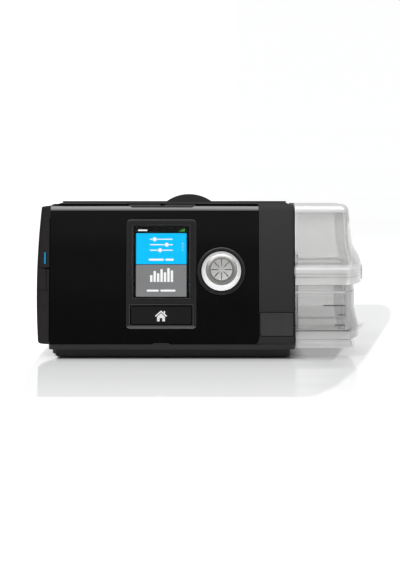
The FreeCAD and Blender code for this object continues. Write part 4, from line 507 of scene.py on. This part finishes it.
# The key's mark is a small house, printed in white ink a little proud of the cap.
KEY_X, KEY_RISE, KEY_FACE = -29.6, 21.6, 0.5
INK_SUNK, INK_PROUD = 0.02, 0.05
house_ink = moulded("house_ink", (0.92, 0.92, 0.91), roughness=0.5, grain=0.0003, depth=0.000003,
                    gloss=0.4)
roof = [(-4.5, 0.2), (0, 4.3), (4.5, 0.2), (3.9, -0.6), (0, 3.0), (-3.9, -0.6)]
walls = [(-3.0, -0.5), (0, 2.2), (3.0, -0.5), (3.0, -4.0), (0.95, -4.0), (0.95, -1.5), (-0.95, -1.5),
         (-0.95, -4.0), (-3.0, -4.0)]
chimney = [(2.1, 2.6), (3.1, 1.7), (3.1, 3.8), (2.1, 3.8)]
house = [[(KEY_X + x, KEY_RISE + y) for x, y in outline] for outline in (roof, walls, chimney)]
laid_on_face("home_mark", house, KEY_FACE - INK_SUNK, KEY_FACE + INK_PROUD, house_ink,
             "home_key")

# ---------------------------------------------------------------- dial
# A turned metal end on a milky cup that flares to the face, inside a fixed dark collar.
# Its shaft runs in a sleeve to the encoder on the display board.
PAINTED_GLOW_FOOT, PAINTED_GLOW_RIM = 0.66, 0.03
dress(moulded("collar_plastic", (0.011, 0.011, 0.011), roughness=0.4, grain=0.0004, depth=0.00001),
      "dial_ring")
knob_white = finish("knob_white", 0.3, Subsurface_Weight=0.25, Subsurface_Scale=0.002,
                    Emission_Color=(1, 1, 1, 1))
shade(knob_white, spread(knob_white, speckle(knob_white, 0.006), 0, 1),
      (0.61, 0.61, 0.60), (0.66, 0.66, 0.66))
emboss(knob_white, speckle(knob_white, 0.001), 0.000004)
knob_low, knob_high = (corner[2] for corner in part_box("dial_knob"))
# The cup glows most at its foot and least at its rim, painted light for the light it catches from below.
feed(knob_white, measured(knob_white, "Z", knob_low, knob_high, PAINTED_GLOW_FOOT, PAINTED_GLOW_RIM),
     "Emission Strength")
dress(knob_white, "dial_knob")
dress(metal("trim_metal", (0.215, 0.21, 0.206), roughness=0.42, grain=0.0005), "dial_trim_ring")

# The end disc is spun: its relief runs out in rays from the middle, and its lighter and darker rays are
# a painted reflection of the spun finish. The eight finger grooves in it are painted darker, a painted
# shade. The rays are reckoned in the plane of the leaning face.
DIAL_MIDDLE = (0.0162, -0.0726, 0.0679)
GROOVES, GROOVE_CORE, GROOVE_EDGE, GROOVE_PAINTED_SHADE = 8.0, 0.03, 0.06, -0.75
RAYS = 26.0


def reckoned(material, operation, *values, **settings):
    """The result of a sum whose terms are sockets or plain numbers."""
    made = node(material, "Math", operation=operation, **settings)
    for index, value in enumerate(values):
        if isinstance(value, bpy.types.NodeSocket):
            wire(material, value, made.inputs[index])
        else:
            made.inputs[index].default_value = value
    return made.outputs[0]


spun = finish("cap_metal", 0.45, Metallic=1.0)
centred = node(spun, "VectorMath", operation="SUBTRACT", in_1=DIAL_MIDDLE)
upright = node(spun, "Mapping", in_Rotation=(math.radians(90) - FACE_LEAN, 0, 0))
rays = node(spun, "TexGradient", gradient_type="RADIAL")
wheel = node(spun, "TexNoise", in_Scale=RAYS, in_Detail=2.0, noise_dimensions="1D")
for start, end in ((node(spun, "TexCoord").outputs["Object"], centred.inputs[0]),
                   (centred.outputs[0], upright.inputs["Vector"]),
                   (upright.outputs["Vector"], rays.inputs["Vector"]),
                   (rays.outputs["Fac"], wheel.inputs["W"])):
    wire(spun, start, end)
from_groove = reckoned(spun, "PINGPONG", reckoned(spun, "MULTIPLY", rays.outputs["Fac"], GROOVES), 0.5)
tone = reckoned(spun, "ADD", spread(spun, wheel.outputs["Fac"], 0.3, 1),
                ranged(spun, from_groove, GROOVE_CORE, GROOVE_EDGE, GROOVE_PAINTED_SHADE), use_clamp=True)
shade(spun, tone, (0.10, 0.10, 0.10), (0.50, 0.50, 0.49))
feed(spun, spread(spun, speckle(spun, 0.0004), 0.4, 0.52), "Roughness")
emboss(spun, wheel.outputs["Fac"], 0.00001)
dress(spun, "dial_cap")
dress(steel, "dial_shaft")
dress(socket_plastic, "dial_bush", "dial_encoder")

# ---------------------------------------------------------------- start and stop button
# A long key in the top front edge, moulded in the housing's plastic. Its front edge is painted black
# under a lighter top, a painted shade for the dark of its gap, and it works a switch on a steel bracket
# under the roof.
GAP_SHADE_LOW, GAP_SHADE_HIGH = 0.1144, 0.1148
start_plastic_painted_shade = grained("start_plastic_painted_shade", **MATT_SKIN)
shade(start_plastic_painted_shade, measured(start_plastic_painted_shade, "Z", GAP_SHADE_LOW, GAP_SHADE_HIGH), BLACK, (0.075, 0.075, 0.075))
dress(start_plastic_painted_shade, "start_button")
dress(socket_plastic, "start_switch")
dress(steel, "switch_bracket")

# ---------------------------------------------------------------- rear fittings
# The slotted filter flap over its felt pad, the clip-in hose outlet with its soft seal, and
# the black power socket with a brass pin. Ducts and volute are plain grey mouldings.
dress(shell_plastic_painted_shade, "filter_cover")
dress(moulded("outlet_plastic", (0.030, 0.0298, 0.0298), **MATT_SKIN), "outlet_connector")
dress(moulded("filter_felt", (0.62, 0.62, 0.60), roughness=0.95, grain=0.0006, depth=0.0002),
      "air_filter")
silicone = moulded("soft_silicone", (0.42, 0.43, 0.45), roughness=0.6, grain=0.0006, depth=0.00001)
dress(silicone, "outlet_seal", "bay_port_seals", "tub_seal", "blower_duct", "blower_mount")
inner_plastic = moulded("inner_plastic", (0.20, 0.21, 0.22), roughness=0.5)
dress(inner_plastic, "outlet_duct", "heater_cradle", "volute_base", "volute_cover", "impeller")
dress(moulded("socket_black", (0.012, 0.012, 0.012), roughness=0.45), "power_inlet")
dress(metal("contact_brass", (0.72, 0.52, 0.22), roughness=0.25), "power_pin")

# ---------------------------------------------------------------- tub bay and heater
# The tub slides into a dark liner, a plain moulding inside the housing. Its floor holds
# the rolled heater plate, which the tub's own steel floor rests on.
dress(moulded("bay_plastic", (0.015, 0.015, 0.015), roughness=0.45), "tub_bay")
dress(metal("heater_metal", (0.66, 0.66, 0.67), roughness=0.28, grain=0.0006, stretch=(0.05, 1, 1)),
      "heater_plate")

# ---------------------------------------------------------------- water tub
# Smoke-tinted clear plastic, a little milky from use and carrying painted light and shade in bands: a
# domed lid on a steel pin over a flared base with a steel floor. Fill levels are printed on the base's
# front in grey.
TALLEST = 120.0
EDGE_ON_LOW, EDGE_ON_HIGH = 0.25, 0.75
CLEAR_FACING, CLEAR_EDGE = 0.78, 0.2


def ramped(material, value, stops):
    """A node that colours a value, by stops of position and colour in rising order."""
    made = node(material, "ValToRGB")
    wire(material, value, made.inputs[0])
    elements = made.color_ramp.elements
    for index, (position, colour) in enumerate(stops):
        element = elements[index] if index < 2 else elements.new(position)
        element.position = position
        element.color = colour
    return made


def clear_plastic(name, bands, edge_painted_shade):
    """Clear plastic with a milky cast; bands give height in mm, greyness and clearness."""
    material = finish(name, 0.03, IOR=1.45)
    tone = ramped(material, measured(material, "Z", 0.0, TALLEST * MM),
                  [(level / TALLEST, (grey, grey, grey * 0.99, clear)) for level, grey, clear in bands])
    facing = node(material, "LayerWeight", in_Blend=0.4).outputs["Facing"]
    # Edges that turn away from the view are scaled down towards the edge tone, a painted shade along the
    # edges.
    edge_shaded = node(material, "VectorMath", operation="SCALE")
    wire(material, tone.outputs["Color"], edge_shaded.inputs[0])
    wire(material, ranged(material, facing, EDGE_ON_LOW, EDGE_ON_HIGH, 1.0, edge_painted_shade),
         edge_shaded.inputs["Scale"])
    feed(material, edge_shaded.outputs[0], "Base Color")
    feed(material, spread(material, speckle(material, 0.008), 0.015, 0.04), "Roughness")
    clearness = ranged(material, facing, 0.0, 1.0, CLEAR_FACING, CLEAR_EDGE)
    feed(material, reckoned(material, "MULTIPLY", clearness, tone.outputs["Alpha"]),
         "Transmission Weight")
    emboss(material, speckle(material, 0.012, detail=1.0), 0.0000008)
    return material


# Milkier bands stand for the thick rim, its ribs and the crown, and are partly painted light; greyer
# ones are painted shade in the lines between them and inside the lid, and the clearest are the plain
# walls. On the base, a milkier foot and a light line high up are painted light, a dark line low down is
# painted shade, and it greys towards its top fill level.
LID_BANDS = ((55.6, 0.97, 0.8), (60.9, 0.97, 0.8), (61.0, 0.72, 0.9), (61.7, 0.72, 0.9),
             (61.8, 0.97, 0.75), (63.3, 0.97, 0.75), (63.4, 0.70, 0.9), (64.1, 0.70, 0.9),
             (64.2, 0.98, 0.7), (66.9, 0.98, 0.6), (67.0, 1.0, 0.2), (68.8, 1.0, 0.2),
             (68.9, 0.97, 0.7), (70.3, 0.97, 0.7), (70.5, 0.82, 1), (72, 0.88, 1), (76, 0.90, 1),
             (84, 0.90, 1), (96, 0.92, 1), (103, 0.88, 1), (107, 0.82, 1), (110.2, 0.78, 1),
             (110.5, 0.97, 0.6), (115.3, 1.0, 0.4))
BASE_BANDS = ((8, 0.92, 0.4), (11, 0.88, 0.6), (14.6, 0.90, 0.8), (20.5, 0.88, 0.9), (20.6, 0.3, 0.8),
              (21.5, 0.3, 0.8), (21.6, 0.80, 1), (39.4, 0.73, 1), (39.5, 0.82, 1), (48.6, 0.80, 1),
              (49.2, 0.90, 0.7), (50.2, 0.90, 0.7), (50.3, 0.84, 1), (66, 0.85, 1))
dress(clear_plastic("lid_polycarbonate", LID_BANDS, edge_painted_shade=0.86), "tub_lid")
dress(clear_plastic("tub_polycarbonate", BASE_BANDS, edge_painted_shade=0.38), "tub_base", "tub_baffle")
dress(steel, "lid_hinge_pin", "tub_heat_plate")

# The fill levels are short strokes that end at the base's right side, in mm.
BASE_SET, PRINT_HALF = 4.1, 0.1
LEVEL_RIGHT, LEVEL_HALF = 110.7, 0.42


def printed_on_tub(name, strokes, material):
    """Ink strokes on the tub base's leaning front, as left, right and height in mm."""
    mesh = bmesh.new()
    for left, right, middle in strokes:
        low, high = middle - LEVEL_HALF, middle + LEVEL_HALF
        corners = []
        for x, z in ((left, low), (right, low), (right, high), (left, high)):
            y = FACE_FOOT[1] + (z * MM - FACE_FOOT[2]) * math.tan(FACE_LEAN) + BASE_SET * MM
            corners.append((x * MM, y, z * MM))
        back, front = ([(x, y + shift * MM, z) for x, y, z in corners]
                       for shift in (PRINT_HALF, -PRINT_HALF))
        add_plate(mesh, back, front)
    fitted(name, mesh, material, "tub")


level_ink = moulded("level_ink", (0.10, 0.10, 0.10), roughness=0.6, grain=0.0003, depth=0.000002,
                    gloss=0.2)
printed_on_tub("level_marks", [(left, LEVEL_RIGHT, level)
                               for left, level in ((94.0, 39.8), (105.4, 32.8), (102.3, 25.1))],
               level_ink)

# ---------------------------------------------------------------- blower and boards
# The blower stands on a soft ring behind the fascia, with a block of open foam beside it
# to quieten it. The main board carries a radio module in its steel can.
dress(steel, "motor_shaft", "blower_motor", "motor_bearings", "radio_module")
dress(moulded("damping_foam", (0.07, 0.07, 0.07), roughness=0.95, grain=0.0012, depth=0.0004),
      "silencer_foam")
dress(board_green, "main_board")

# ---------------------------------------------------------------- table
# A white sweep that curves up into its own backdrop. Its paint is darker close round the machine's foot,
# a painted shadow, and a faint polish in front of it carries the reflection.
FLOOR_GREY, FLOOR_LIFT = 0.36, 0.60
HALF_WIDTH, FLOOR_FRONT, FLOOR_BACK, BACKDROP_TOP, SWEEP_BEND = 4.0, -4.0, 3.5, 3.0, 1.0
SHADE_REACH = 0.35
LEFT_FADE, RIGHT_FADE, FRONT_FADE = (-0.108, -0.131), (0.112, 0.1475), (-0.0635, -0.4135)
TUB_BACK_FADE, BODY_BACK_FADE, BODY_ONLY = (0.20, 0.55), (0.05, 0.18), (0.06, 0.03)
TUB_SLANT = -0.17
BESIDE_TUB_PAINTED_SHADE, BESIDE_TUB_FADE = 0.84, (0.070, 0.095)
UNDER_TUB_PAINTED_LIGHT, UNDER_TUB_FADE = 0.34, (0.068, 0.082)
POLISH, POLISH_FADE = 0.06, (-0.34, -0.04)


def grey_stops(*stops):
    return [(position, (grey, grey, grey, 1)) for position, grey in stops]


def ray_seen(owner):
    """1 for a ray from the camera, off gloss or through clear plastic, and 0 for the rest."""
    path = node(owner, "LightPath")
    direct = reckoned(owner, "MAXIMUM", path.outputs["Is Camera Ray"], path.outputs["Is Glossy Ray"])
    return reckoned(owner, "MAXIMUM", direct, path.outputs["Is Transmission Ray"])


floor_with_painted_shadow = finish("floor_with_painted_shadow", 0.6, Base_Color=(FLOOR_GREY, FLOOR_GREY, FLOOR_GREY, 1),
                     Specular_IOR_Level=0.0)
spot_on_floor = node(floor_with_painted_shadow, "SeparateXYZ")
wire(floor_with_painted_shadow, node(floor_with_painted_shadow, "TexCoord").outputs["Object"], spot_on_floor.inputs[0])
across, deep = spot_on_floor.outputs["X"], spot_on_floor.outputs["Y"]

# How far a point of the floor lies outside the machine's foot, to each side of it. The
# short fades at the left and right stretch a small distance to the whole reach.
past_left = ranged(floor_with_painted_shadow, across, *LEFT_FADE, 0.0, SHADE_REACH)
past_right = ranged(floor_with_painted_shadow, reckoned(floor_with_painted_shadow, "MULTIPLY_ADD", deep, TUB_SLANT, across),
                    *RIGHT_FADE, 0.0, SHADE_REACH)
past_front = ranged(floor_with_painted_shadow, deep, *FRONT_FADE, 0.0, SHADE_REACH)
past_tub_back = ranged(floor_with_painted_shadow, deep, *TUB_BACK_FADE, 0.0, SHADE_REACH)
past_body_back = reckoned(floor_with_painted_shadow, "MULTIPLY",
                          ranged(floor_with_painted_shadow, deep, *BODY_BACK_FADE, 0.0, SHADE_REACH),
                          ranged(floor_with_painted_shadow, across, *BODY_ONLY))
past_ends = reckoned(floor_with_painted_shadow, "MAXIMUM", past_front, past_tub_back)
past_ends = reckoned(floor_with_painted_shadow, "MAXIMUM", past_ends, past_body_back)
beyond = node(floor_with_painted_shadow, "CombineXYZ")
for index, value in enumerate((past_left, past_right, past_ends)):
    wire(floor_with_painted_shadow, value, beyond.inputs[index])
away = node(floor_with_painted_shadow, "VectorMath", operation="LENGTH")
wire(floor_with_painted_shadow, beyond.outputs[0], away.inputs[0])

# The paint's own light rises with that distance, a painted shadow close round the machine's foot. Beside
# the tub it is held back a little more, painted shade, and under the tub it is kept up to a set level,
# painted light.
painted_shadow_lift = ramped(floor_with_painted_shadow, ranged(floor_with_painted_shadow, away.outputs["Value"], 0.0, SHADE_REACH),
                    grey_stops((0.0, 0.0), (0.012, 0.02 * FLOOR_LIFT), (0.03, 0.75 * FLOOR_LIFT),
                               (0.09, 1.06 * FLOOR_LIFT), (0.20, 1.08 * FLOOR_LIFT),
                               (0.64, 1.12 * FLOOR_LIFT), (0.75, 1.0)))
shaded_beside_tub = reckoned(floor_with_painted_shadow, "MULTIPLY", painted_shadow_lift.outputs[0],
                      ranged(floor_with_painted_shadow, across, *BESIDE_TUB_FADE, 1.0, BESIDE_TUB_PAINTED_SHADE))
lift = reckoned(floor_with_painted_shadow, "MAXIMUM", shaded_beside_tub,
                ranged(floor_with_painted_shadow, across, *UNDER_TUB_FADE, 0.0, UNDER_TUB_PAINTED_LIGHT))
white = node(floor_with_painted_shadow, "Emission")
wire(floor_with_painted_shadow, reckoned(floor_with_painted_shadow, "MULTIPLY", ray_seen(floor_with_painted_shadow), lift),
     white.inputs["Strength"])
plain = node(floor_with_painted_shadow, "AddShader")
sheen = node(floor_with_painted_shadow, "BsdfGlossy", in_Roughness=POLISH)
polish = ramped(floor_with_painted_shadow, ranged(floor_with_painted_shadow, deep, *POLISH_FADE), grey_stops(
    (0.0, 0.0), (0.16, 0.0), (0.19, 0.19), (0.55, 0.28), (0.94, 0.36), (1.0, 0.0)))
total = node(floor_with_painted_shadow, "MixShader")
for start, end in ((shader_of(floor_with_painted_shadow).outputs[0], plain.inputs[0]),
                   (white.outputs[0], plain.inputs[1]),
                   (polish.outputs[0], total.inputs[0]),
                   (plain.outputs[0], total.inputs[1]),
                   (sheen.outputs[0], total.inputs[2]),
                   (total.outputs[0], floor_with_painted_shadow.node_tree.nodes["Material Output"].inputs["Surface"])):
    wire(floor_with_painted_shadow, start, end)

mesh = bmesh.new()
side = [(FLOOR_FRONT, 0.0), (FLOOR_BACK - SWEEP_BEND, 0.0)]
for turn in range(10, 100, 10):
    side.append((FLOOR_BACK - SWEEP_BEND + SWEEP_BEND * math.sin(math.radians(turn)),
                 SWEEP_BEND - SWEEP_BEND * math.cos(math.radians(turn))))
side.append((FLOOR_BACK, BACKDROP_TOP))
left_side, right_side = ([mesh.verts.new((x, y, z)) for y, z in side] for x in (-HALF_WIDTH, HALF_WIDTH))
for left, right, far_right, far_left in zip(left_side, right_side, right_side[1:], left_side[1:]):
    mesh.faces.new((left, right, far_right, far_left))
placed("floor", mesh, floor_with_painted_shadow)

# ---------------------------------------------------------------- lamps, cards and air
# Three soft lamps light the machine. Black, pale and graded cards stand where only its
# gloss and its clear plastic show them, and the air glows softly from all round.
LAMP_AIM = (0, 0, 0.05)
DARK_CARD = (0.01, 0.01, 0.01, 1)
CARD_Y, CARD_Z, CARD_TALL = 0.10, 0.250, 0.30
FRONT_WIDTH, FRONT_HEIGHT, STRIP_WIDTH, STRIP_LENGTH = 3.0, 2.6, 2.4, 2.1
STRIP_Y = -0.30


def aimed(made, place, aim):
    """Stand a lamp or a card at a place, turned to face its aim."""
    made.location = place
    made.rotation_euler = (Vector(aim) - Vector(place)).to_track_quat("-Z", "Y").to_euler()


def lamp(name, place, width, height, watts):
    data = bpy.data.lights.new(name, "AREA")
    data.shape = "RECTANGLE"
    data.size, data.size_y, data.energy = width, height, watts
    made = bpy.data.objects.new(name, data)
    aimed(made, place, LAMP_AIM)
    bpy.context.scene.collection.objects.link(made)
    return made


def card(name, place, aim, width, height, paint):
    """A flat card that only shows in gloss."""
    mesh = bmesh.new()
    corners = [(-width / 2, -height / 2, 0), (width / 2, -height / 2, 0),
               (width / 2, height / 2, 0), (-width / 2, height / 2, 0)]
    mesh.faces.new([mesh.verts.new(corner) for corner in corners])
    made = placed(name, mesh, paint)
    aimed(made, place, aim)
    made.visible_camera = made.visible_diffuse = made.visible_transmission = False
    made.visible_shadow = False


def graded(name, height, strength, stops):
    """A glowing paint that changes from the bottom of its card to the top."""
    material = finish(name, 0.9, Base_Color=DARK_CARD, Emission_Strength=strength)
    tones = ramped(material, measured(material, "Y", -height / 2, height / 2), grey_stops(*stops))
    feed(material, tones.outputs[0], "Emission Color")
    return material


lamp("key_lamp", (-0.9, -1.3, 1.5), width=0.9, height=0.9, watts=15)
lamp("overhead_lamp", (0.0, 0.4, 1.3), width=1.2, height=0.8, watts=6).visible_glossy = False
lamp("fill_lamp", (1.3, -1.2, 0.9), width=0.8, height=0.8, watts=4.5)

card_black = finish("card_black", 1.0, Specular_IOR_Level=0.0)
shade(card_black, spread(card_black, speckle(card_black, 0.5), 0, 1),
      (0.004, 0.004, 0.004), (0.008, 0.008, 0.008))
card_pale = finish("card_pale", 1.0, Base_Color=DARK_CARD, Emission_Strength=0.62,
                   Emission_Color=(1, 0.99, 0.98, 1))
for name, x, width, paint in (("back_card", -0.024, 0.208, card_black),
                              ("tub_card", 0.127, 0.094, card_pale)):
    card(name, (x, CARD_Y, CARD_Z), (x, 0, CARD_Z), width, CARD_TALL, paint)
card("front_card", (0, -2.4, 0.75), (0, 0, 0.1), FRONT_WIDTH, FRONT_HEIGHT,
     graded("card_graded", FRONT_HEIGHT, strength=1.0,
            stops=((0.0, 0.03), (0.4775, 0.05), (0.4875, 0.10), (0.5225, 0.10), (0.53, 0.20),
                   (0.68, 0.28), (1.0, 0.02))))
card("strip_light", (0, STRIP_Y, 1.5), (0, STRIP_Y, 0.0), STRIP_WIDTH, STRIP_LENGTH,
     graded("strip_glow", STRIP_LENGTH, strength=8.8,
            stops=((0.0, 0.25), (0.18, 0.42), (0.32, 0.68), (0.44, 0.85), (0.56, 1.0),
                   (0.68, 0.85), (0.82, 0.6), (1.0, 0.4))))

air = bpy.data.worlds.new("studio_air")
bpy.context.scene.world = air
air.use_nodes = True
soft_air = air.node_tree.nodes["Background"]
soft_air.inputs["Color"].default_value = (0.95, 0.97, 1.0, 1)
soft_air.inputs["Strength"].default_value = 0.45
white_air = node(air, "Background", in_Color=(1, 1, 1, 1), in_Strength=1.0)
choice = node(air, "MixShader")
for start, end in ((ray_seen(air), choice.inputs[0]),
                   (soft_air.outputs[0], choice.inputs[1]),
                   (white_air.outputs[0], choice.inputs[2]),
                   (choice.outputs[0], air.node_tree.nodes["World Output"].inputs["Surface"])):
    wire(air, start, end)

# ---------------------------------------------------------------- camera
# It stands straight in front of the machine, a little above its top, and dips towards it.
# Its focal length is given in pixels of a picture 570 high.
IMAGE_HEIGHT = 570
SENSOR = 36.0
CAMERA_DISTANCE, CAMERA_HEIGHT, CAMERA_DIP, FOCAL_PIXELS = 1.400, 0.1500, 4.04, 1762.6
camera = bpy.data.objects.new("camera", bpy.data.cameras.new("camera"))
camera.data.lens = FOCAL_PIXELS / IMAGE_HEIGHT * SENSOR
camera.data.sensor_width = SENSOR
camera.location = (0, -CAMERA_DISTANCE, CAMERA_HEIGHT)
camera.rotation_euler = (math.radians(90 - CAMERA_DIP), 0, 0)
bpy.context.scene.collection.objects.link(camera)
bpy.context.scene.camera = camera
bpy.context.scene.view_settings.view_transform = "Standard"
